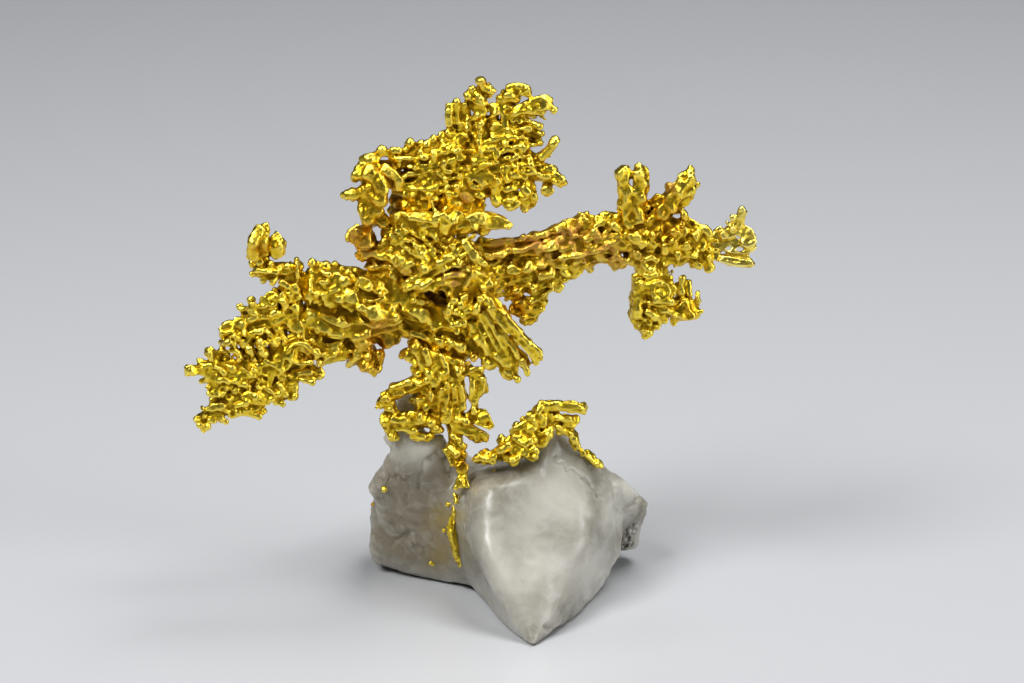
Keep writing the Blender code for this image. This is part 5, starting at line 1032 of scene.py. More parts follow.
# %% The middle, its coral cluster and the feather leaf
RIDGES += [
    (0.22, (-10, 50.9), (-9.2, 50.5), (-8.3, 50), (-7.4, 49.4)),
    (0.2, (-8, 49.7), (-7.3, 49.1), (-6.6, 48.7)), (0.2, (-9.7, 50.3), (-8.9, 50)),
    (0.2, (-10.7, 49), (-9.9, 48.6), (-9.2, 48.4)), (0.2, (-10.4, 49.4), (-9.6, 49.3)),
    (0.25, (-6.9, 50), (-6.2, 49.8), (-5.4, 49.9)), (0.3, (-3.5, 50.8), (-2.9, 50.4), (-2.3, 51)),
    (0.25, (-2, 50.1), (-1.9, 49.3), (-1.6, 48.7)), (0.25, (-3.8, 49.3), (-3.3, 48.8), (-3, 48.3)),
    (0.25, (-5, 49.3), (-4.3, 48.6), (-3.9, 48)),
    (0.35, (-8.3, 44.9), (-7.4, 45.5), (-6.3, 46.2), (-5.2, 47.2)),
    (0.3, (-7.6, 44.6), (-6.5, 45.2), (-5.3, 45.9), (-4.1, 46.7), (-3, 47.3)),
    (0.3, (-6.7, 44.2), (-5.5, 45.1), (-4.5, 45.7)),
    (0.35, (-9.8, 46.2), (-8.9, 46.9), (-8, 47.3), (-6.9, 47.9)),
    (0.3, (-9.2, 45.9), (-8.2, 46.5), (-7.2, 46.9)), (0.3, (-4.2, 47.6), (-3.2, 48), (-2.1, 48.5)),
    (0.3, (-0.2, 48.3), (0.5, 47.7), (1.1, 47)), (0.25, (-1.5, 48.1), (-0.7, 47.8), (-0.2, 47.3)),
    (0.35, (-3.1, 46.1), (-2.3, 46.4), (-1.6, 46.4), (-0.6, 46.4)),
    (0.33, (-7, 43.9), (-6.4, 44.3), (-5.5, 44.7)), (0.25, (-6.4, 43.1), (-5.7, 43), (-5.1, 43.1)),
    (0.4, (1.4, 44.8), (2.4, 43.8), (3.4, 42.7), (4.3, 41.4), (5, 40.4), (6.2, 39.2)),
    (0.35, (6.2, 38.9), (7, 38.2), (7.8, 37.5), (8.5, 36.8)),
    (0.3, (5.4, 38.6), (6.2, 38), (7, 37.3), (7.7, 36.6), (8.1, 35.9)),
    (0.28, (4.9, 38.4), (5.5, 37.6), (6.2, 36.9), (6.9, 36.2), (7.2, 35.3)),
    (0.28, (2.2, 42.3), (3, 41.2), (3.7, 40), (4.4, 38.8), (5.2, 37.5), (5.9, 36.2)),
    (0.28, (6.3, 36), (6.7, 35.2), (7, 34.5)),
    (0.28, (1.6, 41.9), (2.4, 40.6), (3.1, 39.3), (3.8, 38), (4.6, 36.8), (5.3, 35.6), (5.7, 34.6)),
    (0.26, (1.1, 41.6), (1.7, 40.4), (2.3, 39.2), (2.9, 38.1), (3.5, 37.2), (4.2, 36.2), (4.8, 35.2)),
    (0.3, (4, 34.7), (4.7, 34.3), (5.3, 33.9)), (0.26, (0.8, 40.6), (1.3, 39.6), (1.8, 38.7)),
    (0.3, (3, 36.6), (3.6, 36), (4.2, 35.2)), (0.3, (1.6, 36.1), (2.2, 35.6), (2.9, 35)),
    (0.35, (0, 34.6), (0.8, 34.9), (1.6, 34.7)), (0.35, (0.5, 41.6), (0.9, 42.3)),
    (0.4, (0.7, 42.2), (1.1, 42.9), (1.3, 43.6)),
]
LEAVES += [
    (0.45, (-5.3, 50), (-4.6, 50.5), (-3.9, 50.6)), (0.5, (-6.1, 47.4), (-5.4, 47.6), (-4.9, 47.2)),
    (0.55, (-0.9, 50.6), (-0.2, 49.5), (0.7, 48.5), (1.6, 47.6)),
    (0.6, (-3.3, 45.8), (-2.4, 45.4), (-1.2, 45.3)), (0.75, (-5.2, 44.7), (-4.4, 44.9), (-3.5, 44.4)),
    (0.9, (-6.8, 41.9), (-5.8, 41.4), (-4.9, 40.9)),
    (0.6, (3.3, 41.2), (4, 40.4), (4.9, 39.6), (6.2, 39.3)), (0.5, (6, 36.1), (6.4, 35.7), (6.8, 35.3)),
    (0.25, (2, 37.1), (2, 36.4)), (0.35, (-1.3, 44.1), (-0.9, 43.6), (-0.9, 43)),
    (0.3, (-0.6, 44.2), (-0.4, 43.6), (-0.3, 43.1)), (0.3, (0.1, 43.7), (0.1, 43)),
]
KNOBS += [
    (-7.6, 50.5, 0.32), (-5.7, 50.7, 0.3), (-8.3, 49.1, 0.28), (-6.9, 51.5, 0.35), (-4.4, 50.5, 0.4),
    (1.7, 47.7, 0.5), (-6.9, 43.2, 0.4), (-1.9, 43.2, 0.5), (-2.5, 42.4, 0.5), (-2.7, 41.7, 0.45),
    (-2.3, 40.8, 0.5), (-1.6, 41.8, 0.55), (-1.1, 42.6, 0.5), (-2.2, 40.1, 0.45), (-1.6, 39.5, 0.5),
    (-1.4, 40.4, 0.55), (-0.7, 40.5, 0.45), (-0.9, 41.3, 0.4), (-0.4, 41.9, 0.45), (0.2, 42, 0.4),
    (8.5, 36.6, 0.45), (8, 35.6, 0.4), (7, 34.3, 0.45), (5.7, 33.6, 0.5), (0.45, 36.3, 0.62),
    (-0.9, 34.9, 0.4), (-0.2, 35.6, 0.35), (-1, 35.7, 0.35), (-2.3, 33.6, 0.35), (-2.6, 37, 0.3),
    (-3.3, 38.8, 0.25), (-4.4, 38.8, 0.25),
]
PITS += [(-5.8, 51.6, 0.38)]
BARE += [(-4.4, 44.6, 0.8), (-4, 42.2, 1.5), (-5.8, 41.4, 1.3), (-2.4, 45.4, 0.7)]

# %% The long arm, its hub, fingers and drops
RIDGES += [
    (0.3, (0.3, 50), (2, 49.9), (4, 50.3), (6.2, 50.7)),
    (0.3, (3.1, 49.9), (5, 49.9), (7, 50.5), (8.4, 51.2)),
    (0.35, (8, 51.2), (9.6, 51.4), (11.2, 52.2), (12.6, 52.9)),
    (0.3, (5.2, 49.2), (7, 49.5), (9, 50.2), (10.8, 50.9)),
    (0.16, (5.5, 48.3), (7, 48.2), (8.7, 48.3), (10.6, 48.2)),
    (0.13, (1.2, 49.2), (2.2, 48.8), (3.4, 48.6), (4.6, 48.9)),
    (0.13, (1.2, 48.6), (2.4, 49.2), (3.6, 49.4), (4.8, 49.3)),
    (0.13, (1.8, 48), (2.8, 48.9), (3.4, 49.7)), (0.13, (2.8, 47.4), (3.4, 48.2), (4.2, 48.9)),
    (0.13, (2.2, 47.6), (3.4, 47.9), (4.6, 48.2), (5.4, 48.6)),
    (0.13, (3.6, 47), (4.2, 47.8), (4.6, 48.6), (4.8, 49.4)),
    (0.13, (4.6, 46.8), (5.1, 47.6), (5.3, 48.4)),
    (0.25, (5, 47.6), (6.2, 47.4), (7.6, 47.7), (9.4, 47.6)),
    (0.3, (2.2, 45.9), (4, 46.2), (6, 46.5), (8, 47)),
    (0.3, (4.5, 45), (5.5, 45.6), (6.8, 46.2), (8, 46.4)), (0.25, (3, 44.3), (4.3, 44.9), (5.6, 45.6)),
    (0.28, (3.2, 43.8), (4.4, 44), (5.6, 44.5), (6.8, 45), (8.2, 45.3)),
    (0.25, (4.2, 43.2), (5.4, 43.7), (6.4, 44.1)), (0.3, (7.6, 43.8), (8.4, 44.5), (9.2, 45), (10, 45.3)),
    (0.25, (7.3, 43), (8.2, 43.3), (9.2, 44.1), (10, 44.9)),
    (0.3, (6.4, 41), (7.6, 41.3), (8.4, 41.9), (8.8, 42.4)), (0.3, (4, 42.5), (4.4, 41.7), (4.9, 41)),
    (0.35, (12.5, 52.9), (13.5, 53), (14.5, 52.8)),
    (0.35, (15.2, 53.2), (16.4, 53), (17.5, 52.4), (18.4, 51.9)),
    (0.3, (14.6, 51.9), (15.6, 52.4), (16.4, 52.5)),
    (0.3, (13.6, 51.5), (15.2, 51.2), (16.8, 50.9), (18.2, 51.3)),
    (0.35, (15.4, 50.7), (16.6, 50.3), (17.8, 50), (19, 49.7)),
    (0.3, (15.8, 49.4), (16.8, 49.2), (18, 49)), (0.4, (17.2, 48), (18, 48.5), (18.8, 48)),
    (0.3, (10.5, 50.5), (12, 50.9), (13.2, 51)),
    (0.35, (11, 49.5), (12.2, 49.4), (13.4, 49.8), (14.6, 50.2)),
    (0.3, (10.6, 48.4), (12, 48.6), (13.4, 48.9), (15, 49)),
    (0.3, (10.2, 47.6), (11.6, 47.4), (13, 47.7), (14.4, 47.5)),
    (0.3, (11, 46.6), (12.4, 46.4), (13.6, 46.8)), (0.3, (10.4, 45.3), (11.6, 45.7), (12.8, 46.2)),
    (0.25, (18.2, 59.3), (18.4, 58), (18.7, 56.6), (18.8, 55.2)),
    (0.22, (19, 59), (19.4, 58.2), (19.6, 57.2)), (0.2, (18.9, 57.9), (19.2, 57), (19.4, 56.2)),
    (0.3, (21.1, 59.4), (21.5, 58.4), (21.5, 57.2), (21.3, 56)), (0.2, (20.3, 55.5), (20.6, 56.5)),
    (0.55, (22.2, 53), (23.2, 54.2), (24.3, 55.4), (25.3, 56.6), (26.2, 57.6)),
    (0.4, (23.6, 53.4), (24.6, 54.6), (25.6, 55.8), (26.4, 56.8)),
    (0.35, (25.7, 58.2), (26.4, 58.8), (27.1, 59.2)), (0.2, (22.6, 53.6), (23.5, 54.7), (24.5, 56)),
    (0.25, (21.5, 53.2), (22.4, 53.2), (23.2, 53.8)), (0.2, (21.6, 54.5), (22.8, 55)),
    (0.3, (25.6, 54.6), (26, 53.6), (26.7, 53)),
    (0.35, (26.6, 53), (27.6, 52.6), (28.6, 51.9), (29.2, 51.3)),
    (0.4, (18.9, 51.3), (19.7, 50.9), (20.4, 50.6)), (0.25, (19.6, 50.2), (20.6, 50.2), (21.4, 50.3)),
    (0.25, (26.3, 50.2), (27, 50.6), (27.4, 50.2)), (0.25, (26.8, 49.6), (27.4, 49.9)),
    (0.3, (24.4, 50.4), (25.4, 50.6), (26.2, 51)), (0.3, (25.1, 48.9), (25.9, 48.6), (26.4, 48.9)),
    (0.3, (28.2, 50.9), (28.6, 50.2), (28.4, 49.3)), (0.38, (27.3, 47.9), (27.9, 47.4), (28.2, 47.8)),
    (0.38, (28.9, 48.6), (29, 47.8), (29.2, 47.2)), (0.4, (21.3, 48.3), (22.2, 48.3), (22.9, 48)),
    (0.4, (20.8, 47.9), (21.6, 47.4), (22.3, 46.9)), (0.3, (20.1, 49.2), (20.8, 48.7)),
    (0.35, (21.2, 46.4), (22, 46.2), (22.8, 46.6)),
    (0.68, (19.2, 52.6), (19, 54.6), (18.9, 56.6), (18.7, 58.2), (18.5, 59.2)),
    (0.4, (19.8, 53.4), (19.7, 55.4)), (0.68, (20.4, 52.6), (20.5, 54.8), (20.7, 57), (20.6, 59.1)),
    (0.5, (24.4, 54.2), (25.6, 56.4), (27, 58.2)), (0.5, (6, 48.9), (8.4, 49.5), (10.6, 50)),
    (0.5, (12, 50.2), (14, 50.6), (15.6, 51.4)), (0.5, (8.2, 46), (10.2, 46.6)),
    (0.55, (12.4, 48), (14, 48.4)), (0.45, (4.6, 46.9), (6.2, 47), (7.8, 47.4)),
    (0.5, (16.2, 49.6), (17.8, 49.4)),
]
LEAVES += [
    (0.75, (5, 42.7), (5.7, 42), (6, 41.2)), (0.55, (5.9, 43.1), (6.5, 42.3), (6.8, 41.5)),
    (0.6, (25.9, 57.2), (26.6, 57.6), (27.2, 57.5)), (0.75, (22.2, 55.6), (22.9, 55.5), (23.5, 55)),
    (0.5, (23.7, 57), (24.3, 57), (25, 57.2)),
    (1.15, (21.4, 52.2), (23.4, 52.4), (25.4, 52.2), (26.6, 51.6)),
    (0.45, (-0.2, 49.6), (0.6, 49.8), (1.2, 49.8)),
]
KNOBS += [
    (13.2, 52.6, 0.6), (11.6, 51.4, 0.5), (14.9, 51.7, 0.55), (9.6, 48.8, 0.5), (16.4, 51.6, 0.5),
    (12.6, 49.3, 0.5), (18.8, 50.6, 0.5), (7.2, 50.3, 0.4), (10.8, 46, 0.5), (14.6, 47, 0.45),
    (19.6, 52.2, 0.5), (21.6, 49.4, 0.5), (25, 50, 0.5), (26.4, 49.2, 0.5), (22.6, 50, 0.5),
    (24.6, 49.2, 0.4), (20.4, 48.4, 0.5), (27.8, 51.4, 0.45), (18.6, 47.6, 0.55), (17.7, 47.6, 0.45),
    (10.9, 44.9, 0.5), (18.5, 59.1, 0.62), (20.5, 59.4, 0.5), (26.9, 59.1, 0.4), (27.4, 57.3, 0.5),
    (27, 56.8, 0.45), (22.2, 51.2, 0.45), (21.5, 51.1, 0.3), (23.6, 49.4, 0.38), (25.5, 51.5, 0.3),
    (29.1, 47.2, 0.55), (27.8, 47.3, 0.5), (23.6, 47.6, 0.3), (24.2, 47.3, 0.3), (24.6, 46.7, 0.3),
    (23.9, 46.5, 0.3), (23.3, 46.9, 0.3), (24.9, 47.5, 0.3),
]
PITS += [(23.6, 49.4, 0.45), (27.6, 51.2, 0.45), (28.6, 48.4, 0.35)]
BARE += [
    (5.8, 42, 1), (24, 52.2, 1.4), (26, 53.4, 1), (22, 52.4, 1.1), (19, 57, 1), (20.7, 57.6, 1),
    (3.2, 48.2, 1.6), (22.9, 55.5, 0.8),
]

# %% The lobe that hangs down and the thin netted plate
RIDGES += [
    (0.5, (20.6, 46), (20.4, 44.8), (20.5, 43.6), (20.3, 42.4), (20.4, 41.2)),
    (0.4, (21, 45.4), (21.1, 44.2), (21, 43)),
    (0.28, (21.8, 42.9), (22.8, 42.6), (23.9, 42.8), (24.8, 43.1)),
    (0.3, (22.4, 43.2), (23.4, 43.1), (24.4, 43.1)), (0.25, (24.4, 45.3), (24.9, 44.6), (24.8, 43.8)),
    (0.3, (21.6, 44.9), (22.4, 45.2), (23.4, 45.3)),
    (0.25, (21.6, 45.7), (22.6, 45.6), (23.6, 45.4), (24.6, 45.4)),
    (0.35, (21.6, 42), (22.4, 41.6), (22.6, 40.9)), (0.25, (22.6, 42), (23.4, 41.9), (24.2, 42.2)),
    (0.35, (23.4, 41.6), (23.9, 41), (23.6, 40.6)),
    (0.22, (24.9, 41.4), (25.9, 41), (27, 41.1), (27.9, 41.7), (28.4, 42)),
    (0.2, (25.1, 43), (26.2, 43.3), (27.2, 43.1), (27.9, 42.8)),
    (0.35, (25.8, 44), (25.6, 45), (25.9, 46)), (0.3, (26.6, 45.6), (26.7, 44.6), (26.8, 43.8)),
    (0.3, (27.8, 44.2), (27.7, 43.6), (27.9, 42.9)), (0.25, (25.2, 45.4), (25.3, 44.6), (25.6, 43.8)),
    (0.18, (29.7, 48.7), (31, 48.5), (32.6, 48.2), (34.4, 47.8)),
    (0.2, (30.4, 48.2), (31.8, 47.7), (33.4, 47.6), (34.5, 47.5)),
    (0.2, (30, 51.8), (30.5, 52.2), (30.7, 51.6)), (0.2, (31.3, 52.8), (31.7, 52.4)),
    (0.28, (32.2, 53), (31.9, 53.6)),
    (0.2, (32.6, 53.3), (32.9, 54.2), (33.2, 54.6), (33.5, 54.3), (33.1, 53.6), (32.8, 53.1)),
    (0.25, (28.9, 50.9), (29.6, 50.6), (30.2, 50.4)), (0.25, (28.9, 49.5), (29.6, 49.4), (30.2, 49.3)),
]
LEAVES += [
    (0.75, (25.2, 42.3), (26.4, 42.4), (27.8, 42.5)), (0.6, (25.6, 41.3), (26.6, 41.3), (27.4, 41.7)),
    (1.05, (33.6, 52.2), (33.9, 51), (34.2, 49.6)), (0.75, (30.6, 51), (32, 51.6), (33.4, 51.8)),
]
KNOBS += [
    (20, 43.7, 0.45), (19.9, 42.4, 0.4), (20.6, 41.9, 0.4), (20.7, 41.2, 0.4), (21.2, 40.9, 0.45),
    (20.6, 40.3, 0.4), (21.9, 40.4, 0.5), (22.6, 40, 0.4), (21.2, 39.5, 0.5), (21.9, 39.3, 0.5),
    (22.9, 39.9, 0.3), (21.3, 38.8, 0.45), (26, 46, 0.4), (27.8, 44.2, 0.33), (25.7, 44.2, 0.25),
]
PITS += [(23.2, 44.3, 1.15)]
BARE += [(23.2, 44.2, 1.5), (26.4, 42, 1.3), (21.4, 42, 0.35), (32, 50.4, 4.5)]

# %% The stem and the blobs draped on the quartz
RIDGES += [
    (0.38, (-7.2, 39.3), (-5.8, 38.9), (-4.7, 38), (-4.2, 36.9), (-4, 35.8)),
    (0.38, (-5.6, 37.4), (-5.2, 36.4), (-5, 35.3)), (0.3, (-6.4, 36.6), (-6, 35.6), (-5.7, 34.6)),
    (0.35, (-6.9, 33.6), (-6.2, 33), (-5.2, 33.5)), (0.35, (-5.3, 34.6), (-4.6, 33.8), (-4.3, 32.8)),
    (0.3, (-3.6, 36.6), (-3, 35.4), (-2.8, 34.2)), (0.3, (-2.7, 37.4), (-2.2, 36.6), (-1.7, 36.2)),
    (0.35, (-1.7, 35), (-1.4, 34.2), (-1, 33.6)),
    (0.35, (-1.2, 32.9), (-1, 31.9), (-0.9, 30.8), (-0.9, 29.9)),
    (0.3, (-2, 33), (-1.9, 31.8), (-1.8, 30.6)),
    (0.3, (-2.9, 33.2), (-2.8, 32), (-2.9, 30.9), (-3.2, 29.8)),
    (0.3, (-4.9, 30), (-4.3, 30.9), (-3.6, 31.8), (-3.2, 32.5)),
    (0.35, (-5.6, 29.9), (-5, 30.4), (-4.6, 31.4)),
    (0.35, (-10.8, 31.6), (-9.6, 32.4), (-8.4, 32.9), (-7.2, 33.2)),
    (0.3, (-10.7, 31), (-10.2, 31.6), (-9.9, 30.9)), (0.28, (-10.3, 29.9), (-9.6, 29.9), (-9.1, 29.3)),
    (0.3, (-10.8, 28.9), (-10.6, 28), (-10, 27.3)), (0.4, (-9.6, 28.9), (-8.6, 28.5), (-7.7, 28.8)),
    (0.45, (-7.4, 29.2), (-6.6, 29.2), (-5.9, 29)), (0.33, (-9.9, 26.7), (-9.2, 26.4), (-8.8, 26.6)),
    (0.33, (-7.2, 26.6), (-6.3, 26.7), (-5.4, 26.6)), (0.3, (-7.6, 27.6), (-7.1, 27.2), (-6.6, 27.4)),
    (0.3, (-9, 27.6), (-8, 27.7), (-7.3, 27.4)), (0.2, (0.6, 29.6), (1.3, 29.9), (2, 29.7)),
    (0.2, (2.1, 29.4), (2.5, 28.6), (2.9, 27.7)), (0.2, (0.6, 28.3), (1.6, 27.8), (2.6, 27.6)),
    (0.3, (-2.4, 28.2), (-1.2, 28), (0.2, 27.7), (1.4, 27.1), (2.2, 26.5)),
    (0.25, (-2.4, 26.8), (-1.8, 26.4), (-1.2, 26.3)), (0.4, (-0.7, 28.4), (-0.2, 28.4)),
    (0.28, (-0.5, 29.2), (0.1, 29.5)), (0.33, (0.2, 34), (0.3, 33), (0.3, 32), (0.2, 31)),
    (0.38, (1.6, 33.8), (1.6, 33), (1.3, 32.2), (0.7, 31.4), (0.4, 30.6)), (0.3, (0.3, 30.2), (0.4, 29.4)),
    (0.42, (-2.6, 25.6), (-2, 24.8), (-1.4, 24.2)), (0.38, (-3, 25), (-2.5, 24.1), (-1.9, 23.2)),
    (0.33, (-1.4, 25.9), (-0.9, 25.4), (-0.6, 25.2)), (0.3, (-1.6, 24.8), (-0.9, 24.5), (-0.4, 24.3)),
    (0.25, (-1.3, 21.8), (-1.5, 21), (-1.8, 20.2)), (0.25, (-0.7, 21.8), (-0.4, 21), (-0.3, 20.4)),
    (0.22, (-1, 21.4), (-1, 20.4)),
]
LEAVES += [
    (0.72, (-8.3, 37), (-7.6, 36.8), (-7, 36.5)), (0.75, (-7.3, 38.3), (-6.6, 37.6), (-6.2, 36.6)),
    (0.6, (-9.6, 31.8), (-8.8, 32.1), (-8, 32)), (0.75, (-10.4, 29.6), (-10.3, 28.6), (-9.9, 27.8)),
    (0.6, (-8.9, 28.3), (-8, 28.6), (-7.2, 29)), (0.7, (-6.9, 28.8), (-6.2, 28.8), (-5.5, 28.4)),
    (0.75, (1, 29.3), (1.6, 28.7), (2.4, 27.9)),
    (0.62, (-2.3, 27.8), (-1, 27.5), (0.4, 27.1), (1.6, 26.6)),
    (0.72, (-1.2, 23.6), (-1, 22.8), (-0.9, 22)),
]
KNOBS += [
    (-7, 34.9, 0.5), (-6.3, 34.3, 0.5), (-11.4, 30.2, 0.3), (-4.7, 28.4, 0.65), (-4.2, 27.8, 0.45),
    (-5.3, 29.3, 0.4), (-9.1, 26.5, 0.42), (-6.9, 26.6, 0.38), (1.9, 26.3, 0.45), (0.9, 26.3, 0.38),
]
PITS += [(-11.1, 30.6, 0.38)]
BARE += [
    (-7.2, 37.2, 1.2), (-10.2, 28.6, 0.9), (-6.2, 28.7, 0.9), (-7.3, 30.8, 1.1), (1.6, 28.7, 1),
    (0.8, 32.7, 0.6),
]

# %% The leafy crest on the right crystal
RIDGES += [
    (0.38, (0.5, 23.9), (1.4, 24), (2.3, 23.8), (3.1, 24.3)), (0.3, (1.5, 23.4), (2.3, 23.4), (2.9, 23.8)),
    (0.42, (3.4, 24.8), (4.2, 25.2), (5, 25.7)), (0.33, (5, 27), (5.8, 27.7), (6.8, 28.5), (7.8, 29.1)),
    (0.38, (8.2, 29.4), (8.6, 30.3), (8.7, 30.9)),
    (0.33, (9.2, 30.7), (9.2, 29.8), (9.1, 28.8), (8.8, 27.8)),
    (0.2, (9.3, 30.9), (11, 30.8), (13, 30.7), (14, 30.2)),
    (0.22, (9.8, 30), (11.4, 29.9), (13, 29.7), (14.1, 29.5)),
    (0.38, (10.4, 29), (11.4, 28.8), (12.4, 28.7), (13.2, 28.8)),
    (0.33, (11.4, 28.2), (12.2, 28.1), (12.8, 28.1)), (0.28, (9.8, 29.4), (9.9, 28.6), (10.2, 28)),
    (0.33, (10.6, 27.8), (11.6, 27.2), (12.4, 26.6), (12.9, 25.9)),
    (0.28, (12.1, 26.3), (12.5, 25.6), (13, 25.1)), (0.33, (6, 26.6), (6.9, 26.3), (7.6, 26)),
    (0.38, (5.3, 26.6), (6.1, 26), (7, 25.6)), (0.33, (5, 24.9), (6, 24.6), (7, 24.8), (8, 25.2)),
    (0.28, (7, 27.6), (7.6, 26.9), (8, 26)), (0.28, (7.8, 28.6), (8.1, 27.6), (8.4, 26.8)),
    (0.15, (13.5, 24.8), (14.3, 24.1), (15.1, 23.4), (15.6, 22.9)),
]
LEAVES += [
    (0.62, (3.4, 25.1), (4.4, 25.5), (5.3, 26.1)), (0.65, (5.3, 27.1), (6.3, 27.7), (7.2, 28.3)),
    (0.5, (9, 30.5), (10.6, 30.4), (12.2, 30.3), (13.6, 30.1)),
    (0.68, (5.2, 25.5), (6.2, 25.1), (7.4, 25.2)),
]
KNOBS += [
    (0.5, 23.9, 0.4), (1.1, 24.3, 0.33), (13.8, 29.9, 0.38), (12.4, 26.9, 0.38), (13, 26, 0.38),
    (13.2, 25.4, 0.38), (5.2, 23.8, 0.52), (5.8, 24.1, 0.4), (7.9, 24.2, 0.52), (8.2, 24.8, 0.42),
    (6.9, 24.3, 0.38),
]
BARE += [(11.6, 30.3, 1), (10.3, 30.3, 0.8), (12.8, 30.1, 0.8)]
# %% How many forms there are
print(len(RIDGES), "ridges,", len(LEAVES), "leaves,", len(KNOBS), "knobs and", len(PITS), "pits")

# %% [markdown]
# ## Sorting the forms by limb
# A form is drawn in the picture, so it has to be told which limb it lies on. Rays through its places answer
# that: the limb that most of them meet wins. Then each form is made a tube or a ball on that limb, and the
# circles that it covers are kept, so that no rib grows through it.

# %% Which limb each form lies on
GROUNDS = {node: Ground(node) for node in VEINS}
MARKS = {node: on_ruler(ground.points) for node, ground in GROUNDS.items()}
NEAR_ENOUGH = 1.3
# how much wider a form is made than it was read off, because the smoothing of the skin thins it
RIDGE_GAIN = 1.22
LEAF_GAIN = 1.10


def owner(places):
    """The limb that most of the rays through these places meet, and among equals the one met first. Where
    all of them pass beside the limbs, it is the limb that is seen nearest to their middle, if it is near
    enough."""
    starts, ways = sight(places)
    best = None
    for node, ground in GROUNDS.items():
        rays = zip(starts - ways * RAY_START, ways)
        hits = [ground.tree.ray_cast(Vector(start), Vector(way), RAY_REACH)[3] for start, way in rays]
        met = [hit for hit in hits if hit is not None]
        rank = (-len(met), float(np.mean(met)) if met else 0.0)
        if met and (best is None or rank < best[0]):
            best = (rank, node)
    if best:
        return best[1]
    middle = np.mean(places, axis=0)
    gaps = ((float(np.linalg.norm(marks - middle, axis=1).min()), which) for which, marks in MARKS.items())
    gap, node = min(gaps)
    return node if gap < NEAR_ENOUGH else None


def pit(across, up, radius):
    """The rim of a pit: a closed ridge round it, as a ridge of the form (half width, places)."""
    turns = np.linspace(0, 2 * math.pi, 10)
    return (0.12 + 0.1 * radius, *zip(across + radius * np.cos(turns), up + radius * np.sin(turns)))


def shaped_by_node():
    """The tubes of all forms and the circles on the ruler that they cover, by limb."""
    tubes = {node: [] for node in VEINS}
    covers = {node: list(BARE) for node in VEINS}
    kinds = [(form, 0.9, False) for form in RIDGES] + [(form, 0.5, True) for form in LEAVES]
    kinds += [(pit(*place), 0.9, False) for place in PITS]
    missed = 0
    for number, ((half, *places), deep, leaf) in enumerate(kinds):
        node = owner(places)
        half *= LEAF_GAIN if leaf else RIDGE_GAIN
        missed += node is None
        if node:
            tubes[node].append(stroke(GROUNDS[node], places, half, deep, leaf, seed=number))
            covers[node] += [(across, up, half * 0.9) for across, up in places]
    for place in KNOBS:
        node = owner([place[:2]])
        missed += node is None
        if node:
            tubes[node].append(balls(GROUNDS[node], [place]))
            covers[node].append(place)
    print({node: len(found) for node, found in tubes.items()}, "missed", missed)
    return tubes, covers


TUBES, COVERS = shaped_by_node()

# %% [markdown]
# ## Growing the limbs
# Each limb has its own habit: the wing and the fan have fine, close ribs, the stem long ones that run with
# it, the arm short ones in all directions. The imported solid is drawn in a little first, so that the ribs
# stand out from it and the limb keeps its size. Solid, ribs and forms are then wrapped in one skin, and the
# stains are painted on as patches that fade at their rims.

# %% Habit and stains of each limb
FINISH = {"gold_plate": smooth_gold}
# spacing, length, half width, angle to the vein, spread, knob
GROWTH = {
    "gold_left_wing": [(1.45, 1.9, 0.38, 45, 0.35, 0.35)],
    "gold_hook": [(1.6, 1.8, 0.42, 30, 0.3, 0.3)],
    "gold_fan": [(1.45, 1.9, 0.37, 42, 0.4, 0.5)],
    "gold_core": [(1.55, 2.2, 0.4, 45, 0.4, 0.4)],
    "gold_arm": [(1.5, 1.5, 0.46, 30, 0.8, 0.3), (1.3, 0.8, 0.3, 60, 0.8, 0.3)],
    "gold_drop": [(1.5, 1.6, 0.42, 40, 0.4, 0.3)],
    "gold_plate": [],
    "gold_stem": [(1.25, 2.3, 0.5, 24, 0.35, 0.3)],
    "gold_crest": [(1.15, 2.2, 0.44, 32, 0.35, 0.3)],
    "gold_seam": [(0.9, 1.2, 0.22, 30, 0.3, 0.3)],
}
# (across, up, radius, strength) of the stains
STAINS = {
    "rose": [
        (4, 50, 2.2, 0.9), (8, 50.6, 2.2, 0.9), (12, 51.8, 2.4, 0.9), (14, 49, 2.4, 0.8),
        (9, 47.4, 2, 0.5), (17.6, 48.6, 2, 0.8), (16.5, 51, 1.6, 0.4), (-0.5, 55.6, 0.9, 1),
        (24.4, 57.1, 0.9, 1), (-10.4, 40, 1.2, 1), (-12.5, 48.4, 1.6, 0.8), (-2.3, 45.6, 1.3, 0.9),
        (-13.3, 39, 1.6, 0.5), (-14.2, 51.8, 0.8, 0.8), (-8, 46.8, 1.6, 0.5), (-1, 46.6, 1.6, 0.5),
        (21, 48.2, 1.2, 0.5), (6.9, 35.8, 0.8, 0.5), (-0.5, 35.3, 0.8, 0.6), (1.4, 69.9, 0.8, 0.4),
    ],
    "amber": [
        (-13.2, 50.9, 2, 1), (-10.2, 38.2, 2, 0.9), (-12.6, 36, 2.4, 0.8), (-25.7, 49.2, 1.1, 0.9),
        (-8.4, 54.9, 0.9, 0.8), (5.8, 42, 1.8, 0.9), (24, 52.4, 2.8, 0.8), (22.8, 55.6, 0.9, 0.7),
        (26.4, 42, 1.2, 0.8), (-9.2, 31.8, 1.4, 0.7), (-1, 23.4, 1.4, 0.9), (0.4, 36.2, 0.7, 0.6),
        (-12, 56.4, 3, 0.45), (5, 44.6, 2.2, 0.5), (-20, 36.2, 1, 0.5), (7.2, 60.2, 0.7, 0.6),
        (-3.2, 31, 2, 0.4), (-11.6, 43.6, 1, 0.6), (19.6, 55, 1.6, 0.5), (-10.8, 53, 1, 0.6),
        (-7, 37.6, 1.6, 0.5), (2, 57.9, 1.3, 0.4), (-17.2, 41.4, 0.5, 0.7),
    ],
}
# (size, length, seed) of the waves that make the grown skin uneven
GOLD_RELIEF = [(0.05, 1.9, 71), (0.020, 0.85, 72), (0.008, 0.42, 73)]
ARM_RELIEF = [(0.12, 1.7, 74), (0.024, 0.8, 72), (0.008, 0.42, 73)]
